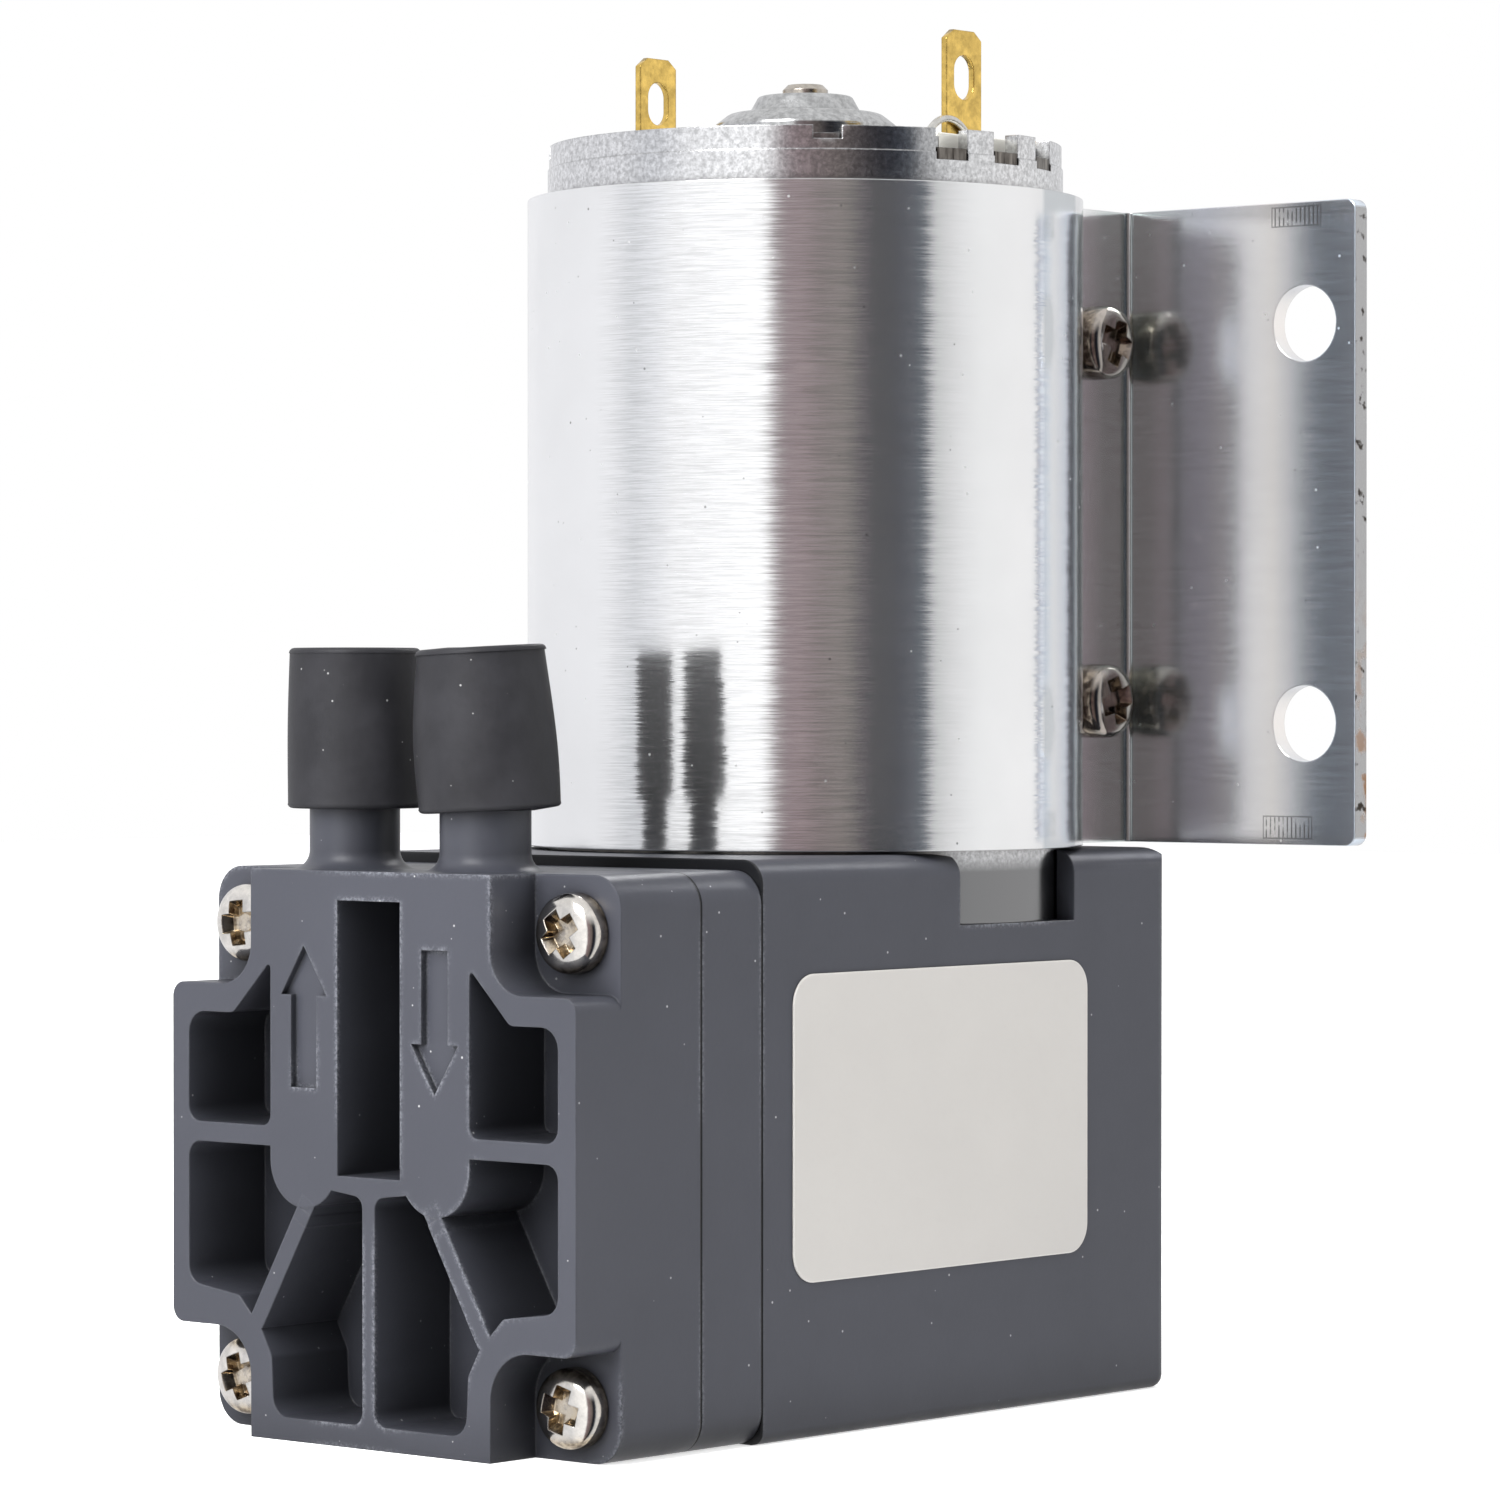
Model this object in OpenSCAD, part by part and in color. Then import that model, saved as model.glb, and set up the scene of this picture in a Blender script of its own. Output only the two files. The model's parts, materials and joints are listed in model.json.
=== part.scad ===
// Small diaphragm vacuum pump with a can motor standing on its crankcase.
// Origin: motor axis at the bottom face. -Y is the pump head's front, +X the label side, +Z up.

/* [Crankcase] */
// How far the side faces stand outside the motor can
side_margin = 0.1; // [0.1:0.1:2]
// How far the back face stands outside the motor can
back_margin = 0.4; // [0.3:0.1:2]
// Distance from the motor axis to the seam with the valve body
case_front = 25.6; // [25.2:0.2:28]
// Height of the crankcase
case_h = 37.8; // [36:0.2:42]
// Thickness of the side walls
case_wall = 2.5; // [2:0.1:3]
// Thickness of the front wall that the diaphragm works through
front_wall = 3.6; // [3:0.1:3.8]
// Radius of the rounded top edges
top_round = 1.6; // [0.8:0.1:2]
// Radius of the rear vertical corners
rear_corner_r = 1.5; // [0.8:0.1:2]
// Depth that the motor is sunk into the crankcase
can_sink = 4.8; // [4:0.1:5.6]
// Thickness of the floor under the motor
seat_t = 3; // [2.5:0.1:3.5]
// Front end of the gap in the side walls, from the motor axis
notch_front = 5.2; // [4:0.1:7]
// Rear end of the gap in the side walls, from the motor axis
notch_back = 7.3; // [5:0.1:8]
// Thickness of the bottom cover
cover_t = 2; // [1.6:0.1:2.4]
// Thickness of the ledge that the bottom cover screws to
ledge_t = 2; // [1.6:0.1:2.4]
// Width of that ledge
ledge_w = 3; // [2.8:0.1:3.4]
// Radius of the bottom cover's screws
cover_screw_r = 0.9; // [0.7:0.05:1]

/* [Pump head] */
// Drop of the pump head's top below the crankcase's top
head_drop = 0.7; // [0.1:0.1:1]
// Drop of the pump axis below the middle of the head
axis_drop = 0.05; // [0:0.05:0.4]
// Thickness of the valve body
valve_t = 5.95; // [5.8:0.05:6.6]
// Thickness of the head cover's flange
flange_t = 7.65; // [7:0.05:8.2]
// Height of the raised face on the flange
raised_t = 4.2; // [3.6:0.1:5]
// Corner radius of the flange and of the valve body
flange_corner_r = 2.2; // [1.5:0.1:3]
// Gap between the raised face and the heads of the head screws
neck_gap = 1.1; // [0.7:0.1:1.3]
// Top of the raised face's wide band, above the pump axis
band_up = 11.05; // [10.6:0.05:11.3]
// Bottom of the raised face's wide band, below the pump axis
band_down = 11.4; // [11.2:0.05:11.6]
// Radius of the hollow corners above the band
hollow_r_up = 2.7; // [2:0.1:3]
// Radius of the hollow corners below the band
hollow_r_down = 3.2; // [2:0.1:3.3]
// Depth of the moulded pockets
pocket_depth = 7; // [5:0.5:8]
// Thickness of the outer walls of the pockets
pocket_wall = 1.5; // [1.3:0.1:1.7]
// Width of the ribs between the pockets
rib_t = 1.3; // [1:0.1:1.5]
// Distance of the flow ducts from the middle, as a share of half the head's width
duct_share = 0.325; // [0.315:0.005:0.33]
// Outer width of a flow duct
duct_w = 6.1; // [5.8:0.1:6.2]
// Inner width of a flow duct
duct_bore_w = 3.6; // [3:0.1:3.8]
// Depth of the engraved arrows
arrow_depth = 0.5; // [0.3:0.1:0.8]
// Height of the arrows' middle above the pump axis
arrow_rise = 9.1; // [8.8:0.1:9.4]
// Length of the engraved arrows
arrow_len = 9.2; // [8:0.1:10]
// Width of an arrow's shaft
arrow_shaft_w = 2.3; // [1.8:0.1:2.6]
// Width of an arrow's head
arrow_head_w = 4.1; // [3.6:0.1:4.6]
// Distance of the head screws from the head's side faces
head_screw_side = 3.6; // [3.4:0.1:4]
// Distance of the upper head screws below the head's top
head_screw_top = 3.7; // [3.5:0.05:3.9]
// Distance of the lower head screws above the head's bottom
head_screw_low = 3.45; // [3.3:0.05:3.8]
// Radius of the head screws' threads
head_screw_r = 1.5; // [1.2:0.05:1.5]
// Radius of the heads of all pan head screws
pan_r = 2.6; // [2.4:0.05:2.8]
// Height of the heads of all pan head screws
pan_h = 2; // [1.6:0.1:2.2]

/* [Hose ports and caps] */
// Radius of a hose port
port_r = 2.95; // [2.7:0.05:3.1]
// Radius of the bore of a hose port
port_bore_r = 1.6; // [1.2:0.1:1.7]
// Depth of the hose ports' bores below the head's top
port_drop = 4.5; // [4:0.1:5]
// Length of the hose ports above the head
port_len = 12.5; // [10:0.1:14]
// Distance of the ports' axes behind the head's front face
port_inset = 4.75; // [4.65:0.05:4.9]
// Radius of the fillet at the foot of a port
port_foot_r = 1.2; // [0.8:0.1:1.3]
// Height of a cap's open rim above the head
cap_lift = 3.95; // [2.5:0.05:4.5]
// Outer radius of a cap
cap_r = 4.45; // [4.2:0.05:4.6]
// Thickness of a cap's closed end
cap_end_t = 1.6; // [1.2:0.1:2]
// Radius of the rounded top edge of a cap
cap_round = 0.5; // [0.3:0.1:0.8]
// Radial clearance between a cap and its port
cap_gap = 0.05; // [0.02:0.01:0.1]

/* [Diaphragm and valves] */
// Radius of the diaphragm
diaphragm_r = 13; // [12.6:0.1:13.4]
// Thickness of the diaphragm
diaphragm_t = 1.2; // [1:0.1:1.4]
// Radius of the pump chamber
chamber_r = 11; // [10.8:0.1:11.3]
// Depth of the pump chamber
chamber_depth = 3.3; // [3.2:0.05:3.5]
// Radius of the opening behind the diaphragm
throat_r = 9.6; // [9.2:0.1:10]
// Radius of the plates that clamp the diaphragm's middle
plate_r = 6.5; // [6:0.1:6.7]
// Thickness of the retainer plate
retainer_t = 1.2; // [1.1:0.05:1.25]
// Thickness of the connecting rod's plate
rod_plate_t = 1.6; // [1.4:0.1:1.8]
// Eccentricity of the crank, half of the stroke
crank_e = 1.5; // [1.2:0.05:1.5]
// Radius of a valve disc
valve_r = 4; // [3.8:0.05:4.1]
// Thickness of a valve disc
valve_disc_t = 0.6; // [0.5:0.05:0.65]
// Lift of a valve
valve_lift = 0.4; // [0.3:0.05:0.42]
// Radius of a valve's stem
valve_stem_r = 1; // [0.9:0.05:1.05]
// Radius of the flow holes round a valve's stem
flow_hole_r = 0.7; // [0.5:0.05:0.75]
// Thickness of the valve gasket
gasket_t = 0.6; // [0.5:0.05:0.7]

/* [Eccentric and bearing] */
// Outer radius of the ball bearing
bearing_or = 8; // [7.9:0.05:8.2]
// Bore radius of the ball bearing
bearing_ir = 4; // [3.9:0.05:4.1]
// Width of the ball bearing
bearing_w = 5; // [4.5:0.1:5.2]
// Thickness of the bearing's rings
race_t = 1.1; // [1:0.05:1.15]
// Radius of the bearing's balls
ball_r = 0.95; // [0.85:0.01:0.97]
// Number of balls
ball_count = 8; // [6:1:9]
// Wall round the bearing in the connecting rod
rod_wall = 2.2; // [1.8:0.1:2.4]
// Width of the connecting rod's shank
rod_shank_w = 6; // [5:0.2:7]
// Height of the counterweight
weight_h = 3.4; // [3:0.1:4.4]
// Radius of the hub at the counterweight
hub_r = 6; // [5.5:0.1:7]
// Height of the step between the bearing and the counterweight
shoulder_t = 1.2; // [1:0.1:2]
// Height of the bearing's cage
cage_h = 2.4; // [2.2:0.1:3]
// Radius of the counterweight
weight_r = 11.5; // [10:0.1:12.5]
// Radius of the grub screw
grub_r = 1; // [0.8:0.05:1.2]
// Length of the grub screw
grub_len = 4; // [3:0.1:4.2]

/* [Motor] */
// Outer radius of the motor can
can_r = 17.9; // [17.6:0.05:19]
// Wall of the motor can
can_wall = 1.2; // [1:0.05:1.3]
// Length of the motor can
can_len = 53.4; // [52.4:0.1:60]
// Length of the stepped crimp rim at the can's open end
rim_len = 1.6; // [1.2:0.1:2]
// Depth of the step of the crimp rim
rim_step = 0.1; // [0.05:0.05:0.3]
// Width of a crimp notch
notch_w = 2.6; // [2.2:0.05:2.8]
// Angle between the crimp notches beside a terminal
notch_pitch = 16.2; // [14:0.1:18]
// Width of the four shallow crimp notches
tab_notch_w = 1.95; // [1.6:0.05:2.3]
// Depth of the four shallow crimp notches
tab_notch_d = 0.9; // [0.6:0.1:1.2]
// Radius of the motor shaft
shaft_r = 1.585; // [1.5:0.005:1.6]
// Running clearance of the shaft in its bushes
bush_gap = 0.03; // [0.01:0.01:0.1]
// Height of the shaft's top end above the can's rim
shaft_rise = 4.4; // [4.2:0.1:5]
// Radius of the bearing boss at the can's front end
front_boss_r = 5; // [4.5:0.1:5.4]
// Distance of the motor's fixing screws inside the can's radius
motor_screw_inset = 5.4; // [5.2:0.1:6]
// Thickness of the magnets
magnet_t = 4.4; // [3.9:0.1:4.6]
// Gap between the magnets and the armature
air_gap = 0.8; // [0.6:0.1:1.3]
// Length of the armature's core
core_len = 24; // [20:0.5:25]
// Number of poles of the armature
pole_count = 5; // [3:1:6]
// Width of an armature arm
arm_w = 2.6; // [2.2:0.1:3]
// Thickness of a pole shoe
shoe_t = 1.9; // [1.6:0.1:2.2]
// Gap between two pole shoes
shoe_gap = 2.4; // [2:0.1:3]
// Width of a coil
coil_w = 5.6; // [5:0.1:5.8]
// Height of a coil past the core
coil_rise = 2.6; // [2:0.1:3.4]
// Radius of the commutator
commutator_r = 3.4; // [3.2:0.05:3.6]
// Length of the commutator
commutator_len = 6.4; // [6:0.1:6.8]
// Gap between the core and the commutator
commutator_gap = 4.4; // [3.6:0.1:5]
// Gap between the commutator and the brushes
brush_gap = 0.1; // [0.05:0.05:0.15]
// Width and height of a brush
brush_w = 3.2; // [2.8:0.1:3.4]
// Length of a brush
brush_len = 4; // [3:0.1:4.5]
// Thickness of the brush springs' leaf
leaf_t = 0.3; // [0.2:0.05:0.4]
// Thickness of the end bell
bell_t = 4.3; // [3.6:0.1:5]
// Width of the end bell's blocks that hold the terminals
block_w = 9.2; // [8.4:0.1:9.4]
// Drop of the metal end plate's face below the can's rim
end_drop = 0.4; // [0.3:0.1:0.8]
// Thickness of the end plate's crimped edge
plate_t = 0.8; // [0.6:0.1:1]
// Height of the end plate's raised middle above that edge
plate_step = 0.9; // [0.6:0.1:1.1]
// Radius of the bearing boss at its foot
boss_foot_r = 6.4; // [6:0.1:7]
// Radius of the bearing boss's neck
boss_neck_r = 3.9; // [3.6:0.1:4.2]
// Height of the bearing boss
boss_h = 4; // [3.8:0.1:4.3]
// Wall of the bushes
bush_wall = 1.3; // [1.1:0.1:1.5]
// Radius of the wire arc beside a terminal
wire_bend_r = 2.55; // [2:0.05:2.7]
// Height of that arc
wire_rise = 1.4; // [1.2:0.05:1.6]
// Radius of that wire
wire_r = 0.25; // [0.2:0.05:0.35]
// Width of a solder terminal
terminal_w = 3.8; // [3.2:0.1:4]
// Thickness of a solder terminal
terminal_t = 0.5; // [0.4:0.05:0.6]
// Distance of the terminals inside the can's radius
terminal_inset = 4; // [3.6:0.1:4.4]
// Height of the terminals above the can's rim
terminal_rise = 7.2; // [6:0.1:8]
// Width of a terminal's slot
slot_w = 2.1; // [1.6:0.1:2.4]
// Length of a terminal's slot
slot_len = 3; // [2.6:0.1:3.4]

/* [Mounting strap] */
// Sheet thickness of the strap
strap_t = 1.4; // [1.2:0.05:1.5]
// Height of the strap's lower edge above the crankcase
strap_gap = 0.2; // [0.2:0.1:1]
// Drop of the strap's upper edge below the can's rim
strap_drop = 3.7; // [2.9:0.1:6]
// Sideways distance of the outer ear's face from the motor axis
ear_x = 11.3; // [11:0.1:11.8]
// Gap between the two ears
ear_gap = 0.6; // [0.4:0.1:1]
// Distance of the leg's back face behind the can
leg_gap = 5.6; // [5.4:0.1:7]
// Distance of the leg's free edge beside the can
leg_reach = 13.1; // [12.6:0.1:16]
// Inner radius of the bend between ear and leg
bend_r = 0.6; // [0.4:0.1:0.8]
// Radius of the leg's two free corners
leg_corner_r = 0.8; // [0.4:0.1:1.4]
// Radius of the two mounting holes
mount_hole_r = 2.65; // [2.1:0.05:2.7]
// Distance of the mounting holes from the leg's free edge
mount_hole_inset = 4.3; // [4:0.1:4.8]
// Distance between the mounting holes
mount_hole_pitch = 27.8; // [26:0.1:28]
// Distance between the clamp screws
clamp_pitch = 25.3; // [24:0.1:26]
// Height of the clamp screws' middle above the strap's middle
clamp_rise = 0.3; // [0:0.1:0.5]
// Distance of the clamp screws behind the can
clamp_off = 0.7; // [0.6:0.05:0.9]
// How much shorter the rear ear is than the front one
tail_cut = 0.2; // [0:0.1:0.4]

/* [Label] */
// Drop of the label's middle below the face that the motor stands on
label_drop = 12.75; // [12:0.05:13.5]
// Distance of the label's middle in front of the motor axis
label_off = 7; // [6:0.1:8]
// Length of the blank label
label_l = 31.2; // [28:0.2:32]
// Height of the blank label
label_h = 20.1; // [18:0.1:21]
// Corner radius of the blank label
label_corner_r = 2; // [1:0.1:3]
// Thickness of the blank label
label_t = 0.15; // [0.1:0.05:0.2]

/* [Hidden] */
$fn = 64;
// Overshoot of cutting shapes past the faces they cut
over = 1;
// Radius of a countersunk head, as a share of its shank's radius
flat_head = 1.5;
// Clearance of a screw in a hole that it passes through
screw_gap = 0.1;
// Clearance of a screw in the thread that it turns into
thread_gap = 0.05;
// Clearance between parts that are laid in a recess
lay_gap = 0.1;
// Clearance between the diaphragm and the plates that clamp it
clamp_gap = 0.05;

half_w = can_r + side_margin;
body_w = 2 * half_w;
case_back = can_r + back_margin;
seat_z = case_h - can_sink;
head_h = case_h - head_drop;
pump_z = head_h / 2 - axis_drop;
port_top = head_h + port_len;
cap_z = head_h + cap_lift;
head_screw_x = half_w - head_screw_side;
neck_half_w = head_screw_x - pan_r - neck_gap;
duct_x = half_w * duct_share;
seam_y = -case_front;
valve_front_y = seam_y - valve_t;
flange_y = valve_front_y - flange_t;
face_y = flange_y - raised_t;
port_y = face_y + port_inset;
cavity_front = seam_y + front_wall;
cavity_back = case_back - case_wall;
cavity_x = half_w - case_wall;
cavity_z = cover_t + ledge_t;
cavity_top = seat_z - seat_t;
recess_x = half_w - 3.2;
recess_front = cavity_front + 2.7;
recess_back = cavity_back;
head_screw_tip = seam_y + 5.6;
can_top = seat_z + can_len;
boss_drop = seat_t - 0.6;
motor_screw_y = can_r - motor_screw_inset;
magnet_ir = can_r - can_wall - magnet_t;
armature_r = magnet_ir - air_gap;
terminal_x = can_r - terminal_inset;
shaft_tip = pump_z - 5.5;
bearing_z = pump_z - bearing_w / 2;
hub_z = bearing_z + bearing_w;
weight_z = hub_z + shoulder_t;
pitch_r = (bearing_ir + bearing_or) / 2;
groove_r = ball_r + 0.1;
rod_screw_r = 1.5;
rod_screw_len = 8;
end_top = can_top - end_drop;
plate_z = end_top - plate_step - plate_t;
bell_z = plate_z - bell_t;
block_top = can_top - lay_gap;
block_in = terminal_x - 2.4;
block_out = sqrt(pow(can_r - can_wall - 0.4, 2) - pow(block_w / 2 + lay_gap, 2)) - lay_gap;
commutator_z = bell_z - commutator_len - 1.2;
armature_z = commutator_z - commutator_gap - core_len;
brush_in = commutator_r + brush_gap;
brush_z = commutator_z + commutator_len / 4;
strap_z = case_h + strap_gap;
strap_h = can_top - strap_drop - strap_z;
ear_back_x = ear_x - strap_t;
tail_x = ear_back_x - ear_gap - strap_t;
leg_back = can_r + leg_gap;
leg_front = leg_back - strap_t;
leg_x = can_r + leg_reach;
clamp_y = can_r + clamp_off;
label_y = -label_off;
label_z = seat_z - label_drop;

// Solid along Y between two planes, from an outline in X and Z
module slab(y_back, y_front) {
    translate([0, y_back, 0]) rotate([90, 0, 0]) linear_extrude(y_back - y_front) children();
}

// Round bar along Y between two planes
module bar_y(x, z, r, y_back, y_front) {
    translate([x, y_back, z]) rotate([90, 0, 0]) cylinder(r = r, h = y_back - y_front);
}

// Body turned about the pump axis; its profile holds radius and distance in front of the seam
module turned() {
    translate([0, seam_y, pump_z]) rotate([90, 0, 0]) rotate_extrude() children();
}

// Rectangle with rounded corners
module plate(x0, x1, y0, y1, r) {
    translate([x0 + r, y0]) square([x1 - x0 - 2 * r, y1 - y0]);
    translate([x0, y0 + r]) square([x1 - x0, y1 - y0 - 2 * r]);
    for (x = [x0 + r, x1 - r], y = [y0 + r, y1 - r]) translate([x, y]) circle(r);
}

// Ring outline
module ring(r_in, r_out) {
    difference() {
        circle(r_out);
        circle(r_in);
    }
}

function unit(v) = v / norm(v);

// Points of the arc that rounds the corner b between a and c
function corner_arc(a, b, c, r, steps = 5) =
    let (u = unit(a - b), w = unit(c - b), half = acos(u * w) / 2,
         centre = b + unit(u + w) * r / sin(half),
         s = b + u * r / tan(half) - centre, e = b + w * r / tan(half) - centre,
         sweep = 180 - 2 * half)
    [for (i = [0:steps])
        centre + (s * sin(sweep * (1 - i / steps)) + e * sin(sweep * i / steps)) / sin(sweep)];

// Outline through the given points with each corner rounded by its own radius
function rounded(points, radii) =
    let (n = len(points))
    [for (i = [0:n - 1])
        each corner_arc(points[(i + n - 1) % n], points[i], points[(i + 1) % n], radii[i])];

// Places its child at the four head screws, on the plane y
module at_head_screws(y) {
    for (x = [-1, 1] * head_screw_x, z = [head_screw_low, head_h - head_screw_top])
        translate([x, y, z]) children();
}

// Hole along Y at each head screw between two planes
module head_screw_holes(r, y_back, y_front) {
    at_head_screws(0) bar_y(0, 0, r, y_back, y_front);
}

// Pan head screw along +Z from its seat, its head below the seat at z = 0, with a cross recess
module pan_screw(shank_r, shank_len) {
    recess_w = 0.8;
    difference() {
        union() {
            cylinder(r = shank_r, h = shank_len);
            intersection() {
                translate([0, 0, -pan_h]) cylinder(r = pan_r, h = pan_h);
                translate([0, 0, pan_r * 0.75]) sphere(r = pan_h + pan_r * 0.75);
            }
        }
        for (a = [0, 90]) rotate(a)
            translate([-pan_r * 0.6, -recess_w / 2, -pan_h - over])
                cube([pan_r * 1.2, recess_w, over + pan_h * 0.5]);
    }
}

// Countersunk screw along +Z, its flat head's face at z = 0
module flat_screw(shank_r, shank_len) {
    cylinder(r1 = shank_r * flat_head, r2 = shank_r, h = shank_r * (flat_head - 1));
    cylinder(r = shank_r, h = shank_len);
}

// Cut for a countersunk screw, open below z = 0
module flat_screw_seat(shank_r, depth) {
    flat_screw(shank_r, depth);
    translate([0, 0, -over]) cylinder(r = shank_r * flat_head, h = over);
}

// Places its child at the bottom cover's screws
module at_cover_screws() {
    inset = cover_screw_r * flat_head + 2 * lay_gap;
    for (x = [-1, 1] * (recess_x - inset), y = [recess_front + inset, recess_back - inset])
        translate([x, y, 0]) children();
}

// Places its child at the motor's two fixing screws
module at_motor_screws() {
    for (y = [-1, 1] * motor_screw_y) translate([0, y, cavity_top]) children();
}

// Outline that rounds the upper right corner at the origin
module corner_outline(r) {
    translate([-r, -r]) difference() {
        square(r + over);
        circle(r);
    }
}

// Bar of quarter-hollow section that rounds a top edge; the edge runs along its own X
module edge_cut(len) {
    rotate([90, 0, 90]) translate([0, 0, -len / 2]) linear_extrude(len) corner_outline(top_round);
}

module crankcase_block() {
    depth = case_back + case_front;
    difference() {
        linear_extrude(case_h) {
            plate(-half_w, half_w, seam_y, case_back, rear_corner_r);
            translate([-half_w, seam_y]) square([body_w, depth / 2]);
        }
        translate([0, case_back, case_h]) edge_cut(body_w + 2 * over);
        for (side = [-1, 1])
            translate([side * half_w, 0, case_h]) rotate([0, 0, -90 * side]) edge_cut(2 * depth);
    }
}

module crankcase() {
    boss_r = head_screw_r + 1.5;
    color("#57585c") difference() {
        union() {
            difference() {
                crankcase_block();
                translate([0, 0, cavity_z]) linear_extrude(cavity_top - cavity_z)
                    plate(-cavity_x, cavity_x, cavity_front, cavity_back, 2);
                translate([0, 0, -over]) linear_extrude(cover_t + over)
                    plate(-recess_x, recess_x, recess_front, recess_back, 1.5);
                linear_extrude(cavity_z + over)
                    plate(-recess_x + ledge_w, recess_x - ledge_w,
                          recess_front + ledge_w, recess_back - ledge_w, 1.5);
            }
            for (side = [-1, 1])
                bar_y(side * head_screw_x, head_screw_low, boss_r, recess_front, cavity_front - 0.5);
        }
        translate([0, 0, seat_z]) cylinder(r = can_r + lay_gap, h = case_h, $fn = 128);
        translate([0, 0, cavity_top - over]) cylinder(r = front_boss_r + lay_gap, h = seat_t + 2 * over);
        translate([-half_w - over, -notch_front, seat_z])
            cube([body_w + 2 * over, notch_front + notch_back, case_h]);
        translate([-notch_back, 0, seat_z]) cube([2 * notch_back, case_back + over, case_h]);
        at_motor_screws() translate([0, 0, -over])
            cylinder(r = head_screw_r + screw_gap, h = seat_t + 2 * over);
        bar_y(0, pump_z, throat_r, cavity_front + over, seam_y - over);
        bar_y(0, pump_z, diaphragm_r + lay_gap, seam_y + diaphragm_t, seam_y - over);
        head_screw_holes(head_screw_r, head_screw_tip, seam_y - over);
        at_cover_screws() cylinder(r = cover_screw_r + thread_gap, h = cavity_z - 0.3);
    }
}

module bottom_cover() {
    color("#4d4e52") difference() {
        linear_extrude(cover_t)
            plate(lay_gap - recess_x, recess_x - lay_gap,
                  recess_front + lay_gap, recess_back - lay_gap, 1.4);
        at_cover_screws() flat_screw_seat(cover_screw_r, cover_t + over);
    }
}

module cover_screws() {
    color("#b9b9b5") at_cover_screws() flat_screw(cover_screw_r, cavity_z - 0.4);
}

// Places its child at a valve: side -1 is the outlet, side 1 the inlet; +Z of the child is -Y
module at_valve(side, y) {
    translate([side * duct_x, y, pump_z]) rotate([90, 0, 0]) children();
}

// Outline of the gasket's recess, reduced by a gap
module gasket_outline(gap) {
    reach = duct_x + valve_r + 2.5 - gap;
    rise = valve_r + 3 - gap;
    plate(-reach, reach, pump_z - rise, pump_z + rise, 1.5 - gap);
}

// Planes of the valve plate: its face to the chamber, its face to the gasket
plate_back_y = seam_y - chamber_depth;
plate_front_y = valve_front_y + gasket_t;
// Depth of the wells that are sunk into the valve plate's chamber side
well_depth = valve_disc_t + valve_lift + 0.05;
barb_r = valve_stem_r + 0.5;
barb_t = 0.5;
flow_ring_r = (valve_stem_r + valve_r) / 2 + 0.2;

module valve_body() {
    color("#515256") difference() {
        slab(seam_y, valve_front_y) plate(-half_w, half_w, 0, head_h, flange_corner_r);
        bar_y(0, pump_z, chamber_r, seam_y + over, plate_back_y);
        slab(plate_front_y, valve_front_y - over) gasket_outline(0);
        head_screw_holes(head_screw_r + screw_gap, seam_y + over, valve_front_y - over);
        at_valve(1, plate_back_y + over) cylinder(r = valve_r + 0.25, h = well_depth + over);
        at_valve(-1, plate_back_y + over) cylinder(r = barb_r + 0.3, h = well_depth + over);
        for (side = [-1, 1]) at_valve(side, plate_back_y + over) {
            cylinder(r = valve_stem_r + 0.05, h = valve_t);
            for (a = [45:90:315]) rotate(a) translate([flow_ring_r, 0, 0])
                cylinder(r = flow_hole_r, h = valve_t);
        }
    }
}

module valve_gasket() {
    color("#2b2b2d") slab(plate_front_y, valve_front_y) difference() {
        gasket_outline(lay_gap);
        for (side = [-1, 1]) translate([side * duct_x, pump_z]) circle(valve_r + 0.5);
    }
}

// Umbrella valve: disc on its seat, stem through the plate and a barb that limits its lift
module umbrella(plate_left) {
    cylinder(r = valve_r, h = valve_disc_t);
    translate([0, 0, -plate_left - valve_lift - barb_t]) {
        cylinder(r = valve_stem_r, h = plate_left + valve_lift + barb_t + valve_disc_t / 2);
        cylinder(r = barb_r, h = barb_t);
    }
}

// Thickness of the plate that is left under the wells
web_t = plate_back_y - well_depth - plate_front_y;

module inlet_valve() {
    color("#26262a") at_valve(1, plate_back_y - well_depth) mirror([0, 0, 1]) umbrella(web_t);
}

module outlet_valve() {
    color("#26262a") at_valve(-1, plate_front_y) umbrella(web_t);
}

// Outline of the raised face, a column with a wide band across it and hollow corners
module face_outline() {
    top = pump_z + band_up;
    bottom = pump_z - band_down;
    translate([-neck_half_w, 0]) square([2 * neck_half_w, head_h]);
    plate(-half_w, half_w, bottom, top, 1);
    for (side = [0, 1]) mirror([side, 0]) {
        translate([neck_half_w, top]) hollow_corner(hollow_r_up);
        translate([neck_half_w, bottom]) mirror([0, 1]) hollow_corner(hollow_r_down);
    }
}

// Fill of an inner corner at the origin, with a hollow arc
module hollow_corner(r) {
    difference() {
        translate([-0.5, -0.5]) square(r + 0.5);
        translate([r, r]) circle(r);
    }
}

// Outline of one flow duct's outer wall, round at its lower end
module duct_outline(side, w, low) {
    translate([side * duct_x - w / 2, low + w / 2]) square([w, head_h - low - w / 2]);
    translate([side * duct_x, low + w / 2]) circle(w / 2);
}

duct_low = pump_z - 3.3;
rib_z = pump_z - 1.7;
side_rib_z = pump_z + 1.25;
brace_in = [duct_x, pump_z - 3.5];
brace_out = [neck_half_w - 0.45, pump_z - band_down + 0.35];

// Straight rib outline between two points
module brace(from, to, w) {
    d = to - from;
    translate(from) rotate(atan2(d[1], d[0])) translate([0, -w / 2]) square([norm(d), w]);
}

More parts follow.
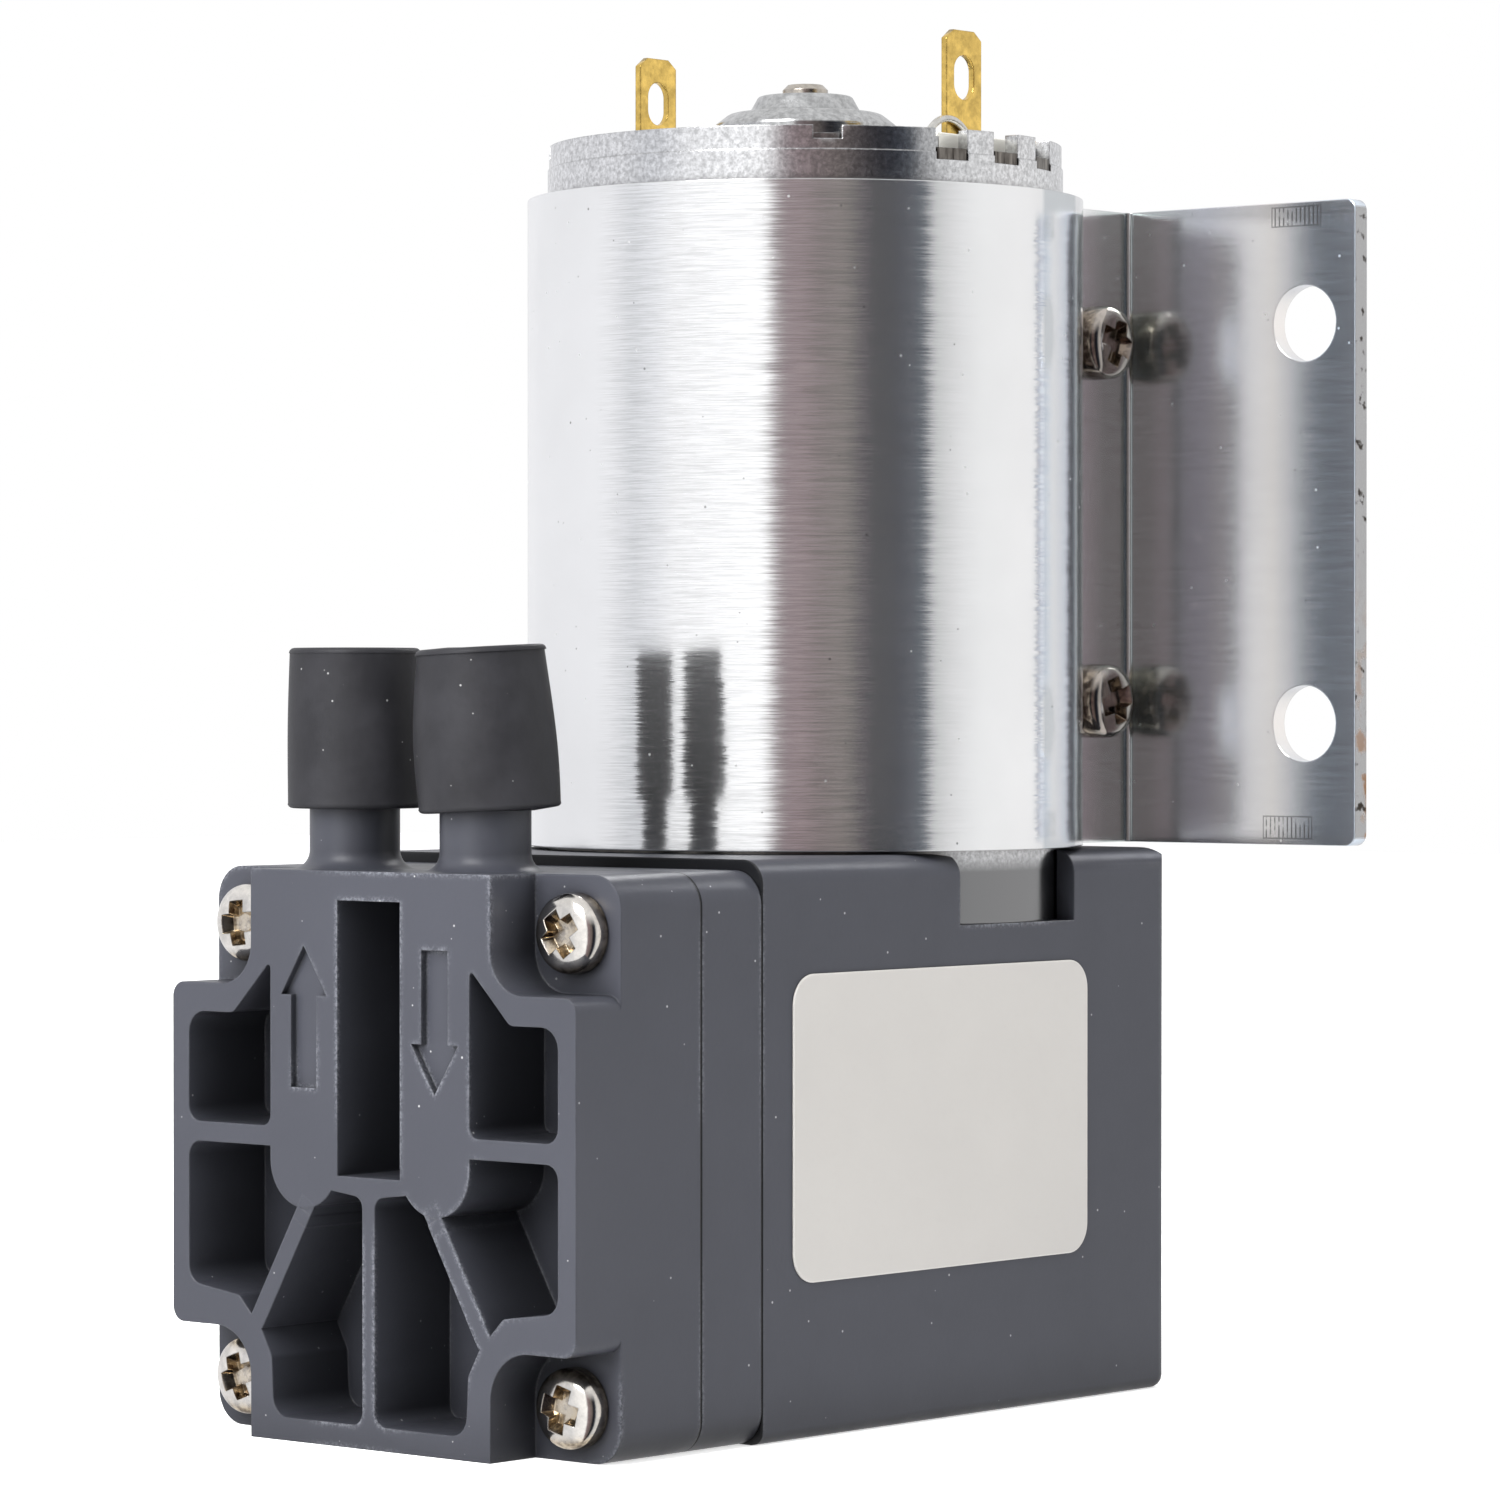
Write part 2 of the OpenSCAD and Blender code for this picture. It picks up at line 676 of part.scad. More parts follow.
// Pockets on the right half of the face, before the ribs are put back
module pocket_outlines() {
    inner_x = duct_x + duct_w / 2;
    outer_x = half_w - pocket_wall;
    top = pump_z + band_up - pocket_wall - 0.4;
    low = pump_z - band_down + pocket_wall + 0.6;
    slant = top + 3.5;
    foot_z = 1.5;
    upper = side_rib_z + rib_t / 2;
    lower = side_rib_z - rib_t / 2;
    polygon(rounded([[inner_x, upper], [outer_x, upper], [outer_x, top],
                     [inner_x + slant - top, top], [inner_x, slant]], [0.7, 1, 1.4, 0.8, 0.2]));
    polygon(rounded([[inner_x - 3, lower], [outer_x, lower], [outer_x, low + 0.6],
                     [brace_out[0] + 1.6, low], [brace_out[0], low - 1.6],
                     [brace_in[0], brace_in[1]]], [0.7, 1, 1.2, 0.6, 0.4, 0.5]));
    polygon(rounded([[rib_t * 0.42, foot_z], [neck_half_w - 2.1, foot_z],
                     [neck_half_w - 1.9, brace_out[1] - 2.1], [brace_out[0] - 0.3, brace_out[1]],
                     [brace_in[0] - 0.3, rib_z - rib_t / 2 + 0.6],
                     [rib_t * 0.42, rib_z - rib_t / 2]], [0.9, 1.3, 0.8, 0.7, 0.6, 0.8]));
}

module face_pockets() {
    channel_half = duct_x - duct_w / 2;
    for (side = [0, 1]) mirror([side, 0]) difference() {
        pocket_outlines();
        duct_outline(1, duct_w, duct_low);
        brace(brace_in, brace_out, rib_t);
    }
    translate([-channel_half, rib_z + rib_t / 2])
        square([2 * channel_half, head_h - 1.9 - rib_z - rib_t / 2]);
}

// Outline of an arrow that points up from the origin at its middle
module arrow() {
    head = arrow_head_w * 0.78;
    tip = arrow_len / 2;
    polygon([[0, tip], [arrow_head_w / 2, tip - head], [arrow_shaft_w / 2, tip - head],
             [arrow_shaft_w / 2, -tip], [-arrow_shaft_w / 2, -tip],
             [-arrow_shaft_w / 2, tip - head], [-arrow_head_w / 2, tip - head]]);
}

// Hose port with a filleted foot, standing on the head
module port(side) {
    translate([side * duct_x, port_y, head_h]) {
        translate([0, 0, -over / 2]) cylinder(r = port_r, h = port_len + over / 2);
        rotate_extrude() difference() {
            square([port_r + port_foot_r, port_foot_r]);
            translate([port_r + port_foot_r, port_foot_r]) circle(port_foot_r);
        }
    }
}

module head_cover() {
    arrow_z = pump_z + arrow_rise;
    color("#5a5b5f") difference() {
        union() {
            slab(valve_front_y, flange_y) plate(-half_w, half_w, 0, head_h, flange_corner_r);
            slab(flange_y + 0.5, face_y) face_outline();
            for (side = [-1, 1]) port(side);
        }
        slab(face_y + pocket_depth, face_y - over) face_pockets();
        slab(face_y + arrow_depth, face_y - over) {
            translate([-duct_x, arrow_z]) arrow();
            translate([duct_x, arrow_z]) mirror([0, 1]) arrow();
        }
        head_screw_holes(head_screw_r + screw_gap, valve_front_y + over, flange_y - over);
        for (side = [-1, 1]) {
            slab(valve_front_y + over, face_y + 2)
                plate(side * duct_x - duct_bore_w / 2, side * duct_x + duct_bore_w / 2,
                      duct_low + 0.6, head_h - 3, 1);
            translate([side * duct_x, port_y, head_h - port_drop])
                cylinder(r = port_bore_r, h = port_len + port_drop + over);
            at_valve(side, valve_front_y + over) cylinder(r = valve_r + 0.4, h = 2.6 + over);
        }
    }
}

module head_screws() {
    color("#c9c7bf") at_head_screws(flange_y) rotate([-90, 0, 0])
        pan_screw(head_screw_r, head_screw_tip - flange_y);
}

module rating_label() {
    color("#e4e4e1") translate([half_w, 0, 0]) rotate([90, 0, 90]) linear_extrude(label_t)
        plate(label_y - label_l / 2, label_y + label_l / 2,
              label_z - label_h / 2, label_z + label_h / 2, label_corner_r);
}

// Radii and heights of the diaphragm's middle, one stroke half in front of its rim
middle_r = plate_r + 0.4;
middle_h = crank_e - diaphragm_t;

module diaphragm() {
    color("#232325") turned() polygon([
        [rod_screw_r + 0.3, middle_h], [middle_r, middle_h], [throat_r, -diaphragm_t],
        [diaphragm_r, -diaphragm_t], [diaphragm_r, 0], [throat_r, 0],
        [middle_r, middle_h + diaphragm_t], [rod_screw_r + 0.3, middle_h + diaphragm_t]]);
}

module diaphragm_retainer() {
    color("#b4b4b4") difference() {
        turned() translate([0, middle_h + diaphragm_t + clamp_gap])
            square([plate_r, retainer_t]);
        translate([0, seam_y - middle_h - diaphragm_t - clamp_gap - retainer_t, pump_z])
            rotate([-90, 0, 0]) flat_screw_seat(rod_screw_r, retainer_t + over);
    }
}

module diaphragm_screw() {
    color("#b9b9b5")
        translate([0, seam_y - middle_h - diaphragm_t - clamp_gap - retainer_t, pump_z])
            rotate([-90, 0, 0]) flat_screw(rod_screw_r, rod_screw_len);
}

module connecting_rod() {
    plate_h = middle_h - clamp_gap;
    color("#cfd0d2") difference() {
        union() {
            turned() translate([0, plate_h - rod_plate_t]) square([plate_r, rod_plate_t]);
            translate([-rod_shank_w / 2, seam_y - plate_h + 0.5, bearing_z + 0.2])
                cube([rod_shank_w, case_front + plate_h - crank_e - bearing_or - 1, bearing_w - 0.4]);
            translate([0, -crank_e, bearing_z])
                cylinder(r = bearing_or + rod_wall, h = bearing_w);
        }
        translate([0, -crank_e, bearing_z - over]) cylinder(r = bearing_or, h = bearing_w + 2 * over);
        translate([0, seam_y - middle_h - diaphragm_t - clamp_gap - retainer_t, pump_z])
            rotate([-90, 0, 0]) cylinder(r = rod_screw_r, h = rod_screw_len);
    }
}

// One race of the ball bearing between two radii, grooved for the balls
module race(r_in, r_out) {
    translate([0, -crank_e, pump_z]) rotate_extrude() difference() {
        translate([r_in, -bearing_w / 2]) square([r_out - r_in, bearing_w]);
        translate([pitch_r, 0]) circle(groove_r);
    }
}

module bearing_inner() {
    color("#c4c6c8") race(bearing_ir, bearing_ir + race_t);
}

module bearing_outer() {
    color("#c4c6c8") race(bearing_or - race_t, bearing_or);
}

module at_balls() {
    for (i = [0:ball_count - 1])
        translate([0, -crank_e, pump_z]) rotate(i * 360 / ball_count) translate([pitch_r, 0, 0])
            children();
}

module bearing_balls() {
    color("#dcdcdc") at_balls() sphere(ball_r);
}

module bearing_cage() {
    cage_half_w = (bearing_or - bearing_ir) / 2 - race_t - 0.4;
    pocket_gap = 0.05;
    color("#c9a86a") difference() {
        translate([0, -crank_e, pump_z - cage_h / 2]) linear_extrude(cage_h)
            ring(pitch_r - cage_half_w, pitch_r + cage_half_w);
        at_balls() rotate([0, 90, 0]) cylinder(r = ball_r + pocket_gap, h = 2 * race_t, center = true);
    }
}

module eccentric_hub() {
    color("#a9abad") difference() {
        union() {
            translate([0, -crank_e, bearing_z - 0.3]) cylinder(r = bearing_ir, h = bearing_w + 0.3);
            translate([0, -crank_e, hub_z]) cylinder(r = bearing_ir + 0.8, h = shoulder_t);
            translate([0, 0, weight_z]) linear_extrude(weight_h) {
                circle(hub_r);
                intersection() {
                    circle(weight_r);
                    translate([-weight_r, 1]) square([2 * weight_r, weight_r]);
                }
            }
        }
        translate([0, 0, bearing_z - over]) cylinder(r = shaft_r, h = weight_z + weight_h);
        translate([0, 0, weight_z + weight_h / 2]) rotate([0, 90, 0])
            cylinder(r = grub_r, h = weight_r + over);
    }
}

module grub_screw() {
    color("#3a3b3e") translate([shaft_r + 0.02, 0, weight_z + weight_h / 2]) rotate([0, 90, 0])
        difference() {
            cylinder(r = grub_r, h = grub_len);
            translate([0, 0, grub_len - 1.5]) cylinder(r = grub_r * 0.6, h = 2, $fn = 6);
        }
}

module motor_can() {
    boss_z = seat_z - boss_drop;
    color("#b8babc") difference() {
        union() {
            translate([0, 0, seat_z]) rotate_extrude($fn = 128) difference() {
                square([can_r, can_len]);
                translate([0, can_wall]) square([can_r - can_wall, can_len]);
                translate([can_r - rim_step, can_len - rim_len]) square([over, rim_len + over]);
            }
            translate([0, 0, boss_z]) cylinder(r = front_boss_r, h = boss_drop + can_wall);
        }
        translate([0, 0, boss_z - over]) cylinder(r = shaft_r + bush_wall, h = boss_drop + can_wall + 2 * over);
        at_motor_screws() cylinder(r = head_screw_r, h = seat_t + can_wall + over);
        at_side_notches() translate([can_r - can_wall - over, -notch_w / 2, plate_z])
            cube([can_wall + 2 * over, notch_w, can_len]);
        for (a = [45:90:315]) rotate(a)
            translate([can_r - can_wall - over, -tab_notch_w / 2, can_top - tab_notch_d])
                cube([can_wall + 2 * over, tab_notch_w, tab_notch_d + over]);
    }
}

// Turns its child to the three deep notches beside each terminal
module at_side_notches() {
    for (side = [0, 180], k = [-1:1]) rotate(side + k * notch_pitch) children();
}

module front_bush() {
    color("#b08d57") translate([0, 0, seat_z - boss_drop]) linear_extrude(boss_drop + can_wall)
        ring(shaft_r + bush_gap, shaft_r + bush_wall);
}

module magnets() {
    color("#3c3d42") translate([0, 0, armature_z - 2]) linear_extrude(core_len + 4)
        for (side = [0, 180]) rotate(side) intersection() {
            ring(magnet_ir, can_r - can_wall);
            polygon([[0, 0], [2 * can_r, -can_r], [2 * can_r, can_r]]);
        }
}

module motor_shaft() {
    point = 0.35;
    straight = can_top + shaft_rise - point - shaft_tip;
    color("#9fa1a3") translate([0, 0, shaft_tip]) {
        cylinder(r = shaft_r, h = straight);
        translate([0, 0, straight]) cylinder(r1 = shaft_r, r2 = shaft_r - point, h = point);
    }
}

core_hub_r = shaft_r + 2.8;

// Outline of the armature's laminations: hub, arms and pole shoes
module lamination() {
    difference() {
        union() {
            circle(core_hub_r);
            for (i = [0:pole_count - 1]) rotate(i * 360 / pole_count)
                translate([0, -arm_w / 2]) square([armature_r - 0.6, arm_w]);
            difference() {
                ring(armature_r - shoe_t, armature_r);
                for (i = [0:pole_count - 1]) rotate((i + 0.5) * 360 / pole_count)
                    translate([0, -shoe_gap / 2]) square([armature_r + over, shoe_gap]);
            }
        }
        circle(shaft_r);
    }
}

module armature_core() {
    color("#55575b") translate([0, 0, armature_z]) linear_extrude(core_len) lamination();
}

module windings() {
    color("#a4552c") difference() {
        for (i = [0:pole_count - 1]) rotate(i * 360 / pole_count)
            translate([core_hub_r + 0.2, -coil_w / 2, armature_z - coil_rise])
                cube([armature_r - shoe_t - core_hub_r - 0.4, coil_w, core_len + 2 * coil_rise]);
        translate([0, 0, armature_z]) linear_extrude(core_len) lamination();
    }
}

module commutator() {
    color("#b87333") translate([0, 0, commutator_z]) linear_extrude(commutator_len) difference() {
        ring(shaft_r, commutator_r);
        for (i = [0:pole_count - 1]) rotate((i + 0.5) * 360 / pole_count)
            translate([commutator_r - 0.6, -0.2]) square([over, 0.4]);
    }
}

// Places its child on each side of the motor, mirrored at the motor axis
module on_both_sides() {
    for (side = [0, 180]) rotate(side) children();
}

module brushes() {
    color("#2f2f31") on_both_sides() translate([brush_in, -brush_w / 2, brush_z])
        cube([brush_len, brush_w, brush_w]);
}

module brush_springs() {
    leaf_w = brush_w - 0.4;
    reach = terminal_x + terminal_t / 2 - brush_in - brush_len;
    color("#b98b4e") on_both_sides() {
        translate([brush_in + brush_len, -leaf_w / 2, brush_z])
            cube([leaf_t, leaf_w, bell_z - brush_z]);
        translate([brush_in + brush_len, -leaf_w / 2, bell_z - leaf_t])
            cube([reach, leaf_w, leaf_t]);
    }
}

// Blocks of the end bell that reach up round the terminals, larger by a gap
module terminal_blocks(gap, z, h) {
    on_both_sides() translate([block_in - gap, -block_w / 2 - gap, z])
        cube([block_out - block_in + 2 * gap, block_w + 2 * gap, h]);
}

module end_bell() {
    color("#e9e6dd") difference() {
        union() {
            translate([0, 0, bell_z]) cylinder(r = can_r - can_wall, h = bell_t, $fn = 128);
            terminal_blocks(0, bell_z, block_top - bell_z);
        }
        translate([0, 0, bell_z - over]) cylinder(r = commutator_r + 0.6, h = bell_t + 2 * over);
        on_both_sides() translate([terminal_x - terminal_t / 2, -terminal_w / 2, bell_z - over])
            cube([terminal_t, terminal_w, block_top - bell_z + 2 * over]);
    }
}

rear_bush_len = end_top - plate_z + boss_h - 0.7;

// Pressed end plate: crimped edge with tabs in the can's notches, raised middle and stepped boss
module bearing_boss() {
    r = can_r - can_wall;
    foot = boss_foot_r;
    neck = boss_neck_r;
    color("#b4b6b8") difference() {
        union() {
            translate([0, 0, plate_z]) cylinder(r = r, h = plate_t, $fn = 128);
            at_side_notches() translate([r - over, lay_gap - notch_w / 2, plate_z])
                cube([over + can_wall - 0.15, notch_w - 2 * lay_gap, plate_t]);
            difference() {
                translate([0, 0, plate_z + plate_t])
                    cylinder(r = r - 0.3, h = plate_step, $fn = 128);
                on_both_sides()
                    translate([block_in - lay_gap, -block_w / 2 - lay_gap, plate_z + plate_t])
                        cube([can_r, block_w + 2 * lay_gap, plate_step + over]);
            }
            translate([0, 0, end_top]) rotate_extrude() polygon(rounded(
                [[0, 0], [foot, 0], [foot, boss_h - 2.1], [foot - 1.1, boss_h - 1.25],
                 [neck, boss_h - 1.15], [neck - 0.65, boss_h], [0, boss_h]],
                [0, 0, 0.5, 0.8, 0.3, 0.3, 0]));
        }
        terminal_blocks(lay_gap, plate_z - over, plate_t + over);
        translate([0, 0, plate_z - over])
            cylinder(r = shaft_r + bush_wall, h = over + rear_bush_len);
        translate([0, 0, plate_z - over]) cylinder(r = shaft_r + 0.25, h = can_len);
    }
}

module rear_bush() {
    color("#b08d57") translate([0, 0, plate_z]) linear_extrude(rear_bush_len)
        ring(shaft_r + bush_gap, shaft_r + bush_wall);
}

module terminals() {
    half = terminal_w / 2;
    top = can_top + terminal_rise;
    slot_z = top - 3.2;
    color("#c8973a") on_both_sides() difference() {
        translate([terminal_x - terminal_t / 2, 0, 0]) rotate([90, 0, 90]) linear_extrude(terminal_t)
            polygon([[-half, bell_z], [half, bell_z], [half, top - 0.6], [half - 0.8, top],
                     [0.8 - half, top], [-half, top - 0.6]]);
        for (z = [-1, 1] * (slot_len - slot_w) / 2)
            translate([terminal_x - over, 0, slot_z + z]) rotate([0, 90, 0])
                cylinder(r = slot_w / 2, h = 2 * over);
        translate([terminal_x - over, -slot_w / 2, slot_z - (slot_len - slot_w) / 2])
            cube([2 * over, slot_w, slot_len - slot_w]);
    }
}

// Thin wire arc on the end bell beside the terminal on the label side
module terminal_wire() {
    x = terminal_x + terminal_t / 2 + wire_r + thread_gap;
    sunk = wire_bend_r + wire_r - wire_rise;
    foot = sqrt(pow(wire_bend_r, 2) - pow(sunk, 2));
    reach = wire_bend_r + 2 * wire_r;
    y = foot + wire_r + lay_gap - block_w / 2;
    color("#a8a6a0") intersection() {
        translate([x, y, block_top - sunk]) rotate([90, 0, 90])
            rotate_extrude() translate([wire_bend_r, 0]) circle(wire_r, $fn = 16);
        translate([x - over, y - reach, block_top]) cube([2 * over, 2 * reach, reach]);
    }
}

module motor_screws() {
    color("#b9b9b5") at_motor_screws() pan_screw(head_screw_r, seat_t + can_wall + 0.6);
}

// Plan of the strap: the band round the can, its two ears and the leg
module strap_plan() {
    bend = [ear_x + bend_r, leg_front - bend_r];
    difference() {
        union() {
            circle(can_r + strap_t, $fn = 128);
            translate([tail_x, 0]) square([strap_t, bend[1] - tail_cut]);
            translate([ear_back_x, 0]) square([strap_t, bend[1]]);
            translate([bend[0], leg_front]) square([leg_x - bend[0], strap_t]);
            translate(bend) intersection() {
                ring(bend_r, bend_r + strap_t);
                translate([-bend_r - strap_t, 0]) square(bend_r + strap_t);
            }
        }
        circle(can_r, $fn = 128);
        translate([ear_back_x - ear_gap, 0]) square([ear_gap, leg_back + over]);
    }
}

// Places its child at the clamp screws, on the outer ear's face
module at_clamp_screws() {
    for (side = [-1, 1])
        translate([ear_x, clamp_y, strap_z + strap_h / 2 + side * clamp_pitch / 2 + clamp_rise])
            rotate([0, -90, 0]) children();
}

clamp_screw_r = 1.45;
ears_t = ear_x - tail_x;

module mounting_strap() {
    color("#d3d5d8") difference() {
        translate([0, 0, strap_z]) linear_extrude(strap_h) strap_plan();
        for (side = [-1, 1])
            bar_y(leg_x - mount_hole_inset, strap_z + strap_h / 2 + side * mount_hole_pitch / 2,
                  mount_hole_r, leg_back + over, leg_front - over);
        at_clamp_screws() cylinder(r = clamp_screw_r, h = ears_t);
        slab(leg_back + over, leg_front - over) translate([leg_x, strap_z + strap_h / 2])
            for (side = [0, 1]) mirror([0, side]) translate([0, strap_h / 2])
                corner_outline(leg_corner_r);
    }
}

module clamp_screws() {
    color("#c9c7bf") at_clamp_screws() pan_screw(clamp_screw_r, ears_t);
}

// Rubber cap on a hose port
module cap(side) {
    top = port_top + 0.3 + cap_end_t;
    color("#232325") translate([side * duct_x, port_y, cap_z]) rotate_extrude() difference() {
        union() {
            square([cap_r, top - cap_z - cap_round]);
            square([cap_r - cap_round, top - cap_z]);
            translate([cap_r - cap_round, top - cap_z - cap_round]) circle(cap_round);
        }
        translate([0, -over]) square([port_r + cap_gap, top - cap_z - cap_end_t + over]);
    }
}

module inlet_cap() {
    cap(1);
}

module outlet_cap() {
    cap(-1);
}

crankcase();
bottom_cover();
cover_screws();
valve_body();
valve_gasket();
head_cover();
head_screws();
rating_label();
diaphragm();
motor_can();
magnets();
front_bush();
rear_bush();
end_bell();
bearing_boss();
terminals();
terminal_wire();
brushes();
brush_springs();
motor_screws();
mounting_strap();
clamp_screws();
motor_shaft();
armature_core();
windings();
commutator();
eccentric_hub();
grub_screw();
bearing_inner();
connecting_rod();
bearing_outer();
diaphragm_retainer();
diaphragm_screw();
bearing_balls();
bearing_cage();
inlet_valve();
outlet_valve();
inlet_cap();
outlet_cap();
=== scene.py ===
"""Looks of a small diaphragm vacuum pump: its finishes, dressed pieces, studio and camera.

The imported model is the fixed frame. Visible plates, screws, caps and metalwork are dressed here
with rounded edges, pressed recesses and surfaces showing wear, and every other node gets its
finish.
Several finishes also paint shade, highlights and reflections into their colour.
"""

from __future__ import annotations

import json
import logging
import math
from dataclasses import dataclass, field
from enum import Enum
from typing import Sequence

import bmesh
import bpy
from mathutils import Matrix, Vector


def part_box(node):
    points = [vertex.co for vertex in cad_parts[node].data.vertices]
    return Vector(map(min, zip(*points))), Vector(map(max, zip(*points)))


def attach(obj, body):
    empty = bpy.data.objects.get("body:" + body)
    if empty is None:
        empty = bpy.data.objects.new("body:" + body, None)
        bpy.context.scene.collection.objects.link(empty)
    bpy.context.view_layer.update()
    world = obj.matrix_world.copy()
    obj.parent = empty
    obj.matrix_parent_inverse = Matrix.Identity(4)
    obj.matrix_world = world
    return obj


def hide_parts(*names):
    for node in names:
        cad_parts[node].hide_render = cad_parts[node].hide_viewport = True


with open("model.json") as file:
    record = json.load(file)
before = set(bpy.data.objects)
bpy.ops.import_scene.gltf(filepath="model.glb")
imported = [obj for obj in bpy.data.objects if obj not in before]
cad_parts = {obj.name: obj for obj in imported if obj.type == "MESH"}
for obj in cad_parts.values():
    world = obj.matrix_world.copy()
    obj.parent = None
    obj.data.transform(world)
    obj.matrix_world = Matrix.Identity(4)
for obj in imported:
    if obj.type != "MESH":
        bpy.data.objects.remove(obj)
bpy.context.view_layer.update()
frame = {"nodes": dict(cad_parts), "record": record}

LOG = logging.getLogger("pump")
MM = 0.001
FULL_TURN = 2 * math.pi
SHARP = math.radians(40.0)
# Sideways direction of the camera, in X and Y
SIDEWAYS = (0.7578, 0.6524)

Colour = tuple[float, float, float]
Socket = bpy.types.NodeSocket


class Body(Enum):
    """Bodies of the pump that the dressed pieces ride on."""

    HOUSING = "housing"
    INLET_CAP = "inlet_cap"
    OUTLET_CAP = "outlet_cap"


class Side(Enum):
    """The two sides of the head: the outlet is at -X, the inlet at +X."""

    OUTLET = -1
    INLET = 1


class Sheet:
    """Node sheet of a material or world, with short ways to add and link its nodes."""

    def __init__(self, owner: bpy.types.Material | bpy.types.World) -> None:
        """Starts an empty sheet.

        Args:
            owner: The material or world.
        """
        owner.use_nodes = True
        self.tree = owner.node_tree
        self.tree.nodes.clear()
        self.coordinates = self.add("ShaderNodeTexCoord").outputs
        self.place = self.coordinates["Object"]

    def add(self, kind: str, inputs: dict | None = None, **settings: object) -> bpy.types.Node:
        """Adds a node.

        Args:
            kind: Type name of the node.
            inputs: Values or sockets for its inputs, by name or number.
            **settings: Properties of the node.

        Returns:
            The new node.
        """
        node = self.tree.nodes.new(kind)
        for key, value in settings.items():
            setattr(node, key, value)
        for key, value in (inputs or {}).items():
            if isinstance(value, bpy.types.NodeSocket):
                self.tree.links.new(value, node.inputs[key])
            else:
                node.inputs[key].default_value = value
        return node

    def stretched(self, stretch: Sequence[float]) -> Socket:
        """Object coordinates scaled along each axis.

        Args:
            stretch: Factor for X, Y and Z.

        Returns:
            The scaled vector.
        """
        return self.add("ShaderNodeMapping", {"Vector": self.place, "Scale": stretch}).outputs[0]

    def noise(self, scale: float, detail: float = 3.0, rough: float = 0.55,
              stretch: Sequence[float] = (1, 1, 1)) -> Socket:
        """Cloudy noise in object space.

        Args:
            scale: Waves per metre.
            detail: Octaves.
            rough: Weight of the finer octaves.
            stretch: Factor for each axis.

        Returns:
            The noise from 0 to 1.
        """
        node = self.add("ShaderNodeTexNoise",
                        {"Vector": self.stretched(stretch), "Scale": scale,
                         "Detail": detail, "Roughness": rough})
        return node.outputs["Fac"]

    def band(self, value: Socket, low: float, high: float, start: float = 0.0,
             end: float = 1.0) -> Socket:
        """Maps a range of a value to another range, clamped.

        Args:
            value: The value.
            low: Value that gives start.
            high: Value that gives end.
            start: Result at low.
            end: Result at high.

        Returns:
            The mapped value.
        """
        return self.add("ShaderNodeMapRange", {"Value": value, "From Min": low, "From Max": high,
                                               "To Min": start, "To Max": end}).outputs[0]

    def apply(self, kind: str, *numbers: Socket | float) -> Socket:
        """One math operation.

        Args:
            kind: Name of the operation.
            *numbers: What it works on.

        Returns:
            The result.
        """
        return self.add("ShaderNodeMath", dict(enumerate(numbers)), operation=kind).outputs[0]

    def times(self, first: Socket, second: Socket | float) -> Socket:
        """Product of two numbers."""
        return self.apply("MULTIPLY", first, second)

    def plus(self, first: Socket, second: Socket) -> Socket:
        """Sum of two numbers."""
        return self.apply("ADD", first, second)

    def vector(self, kind: str, *values: Socket | Sequence[float]) -> bpy.types.NodeOutputs:
        """Outputs of one vector operation, the vector first and then the number."""
        return self.add("ShaderNodeVectorMath", dict(enumerate(values)), operation=kind).outputs

    def along(self, vector: Socket) -> bpy.types.NodeOutputs:
        """The parts of a vector along X, Y and Z."""
        return self.add("ShaderNodeSeparateXYZ", {0: vector}).outputs

    def blend(self, share: Socket | float, first: Socket | Colour,
              second: Socket | Colour) -> Socket:
        """Mixes two colours.

        Args:
            share: Share of the second colour.
            first: First colour.
            second: Second colour.

        Returns:
            The mixed colour.
        """
        node = self.add("ShaderNodeMix", {0: share}, data_type="RGBA")
        for slot, value in ((6, first), (7, second)):
            if isinstance(value, bpy.types.NodeSocket):
                self.tree.links.new(value, node.inputs[slot])
            else:
                node.inputs[slot].default_value = (*value, 1.0)
        return node.outputs[2]

    def bump(self, height: Socket, depth: float, strength: float = 1.0,
             normal: Socket | None = None) -> Socket:
        """Bumps the surface.

        Args:
            height: Height from 0 to 1.
            depth: Depth in metres that height 1 stands for.
            strength: Strength of the effect.
            normal: Normal to start from.

        Returns:
            The bumped normal.
        """
        inputs = {"Height": height, "Distance": depth, "Strength": strength}
        if normal is not None:
            inputs["Normal"] = normal
        return self.add("ShaderNodeBump", inputs).outputs[0]

    def rounded_normal(self, radius: float) -> Socket:
        """Normal that rounds the edges over a radius in metres."""
        return self.add("ShaderNodeBevel", {"Radius": radius}, samples=6).outputs[0]

    def edges(self, radius: float) -> Socket:
        """Mask that is 1 at sharp edges.

        Args:
            radius: Reach of the edge in metres.

        Returns:
            The mask.
        """
        true_normal = self.add("ShaderNodeNewGeometry").outputs["True Normal"]
        dot = self.vector("DOT_PRODUCT", self.rounded_normal(radius), true_normal)["Value"]
        return self.band(dot, 0.995, 0.80)

    def specks(self, scale: float, size: float, share: float) -> Socket:
        """Mask of small separate specks, each in its own cell.

        Args:
            scale: Cells per metre.
            size: Radius of a speck, as a share of a cell.
            share: Share of the cells that have one.

        Returns:
            The mask.
        """
        cells = self.add("ShaderNodeTexVoronoi", {"Vector": self.place, "Scale": scale})
        dot = self.band(cells.outputs["Distance"], size, size * 0.6)
        pick = self.add("ShaderNodeSeparateColor", {0: cells.outputs["Color"]}).outputs[0]
        return self.times(dot, self.band(pick, 1 - share, 1.001 - share))

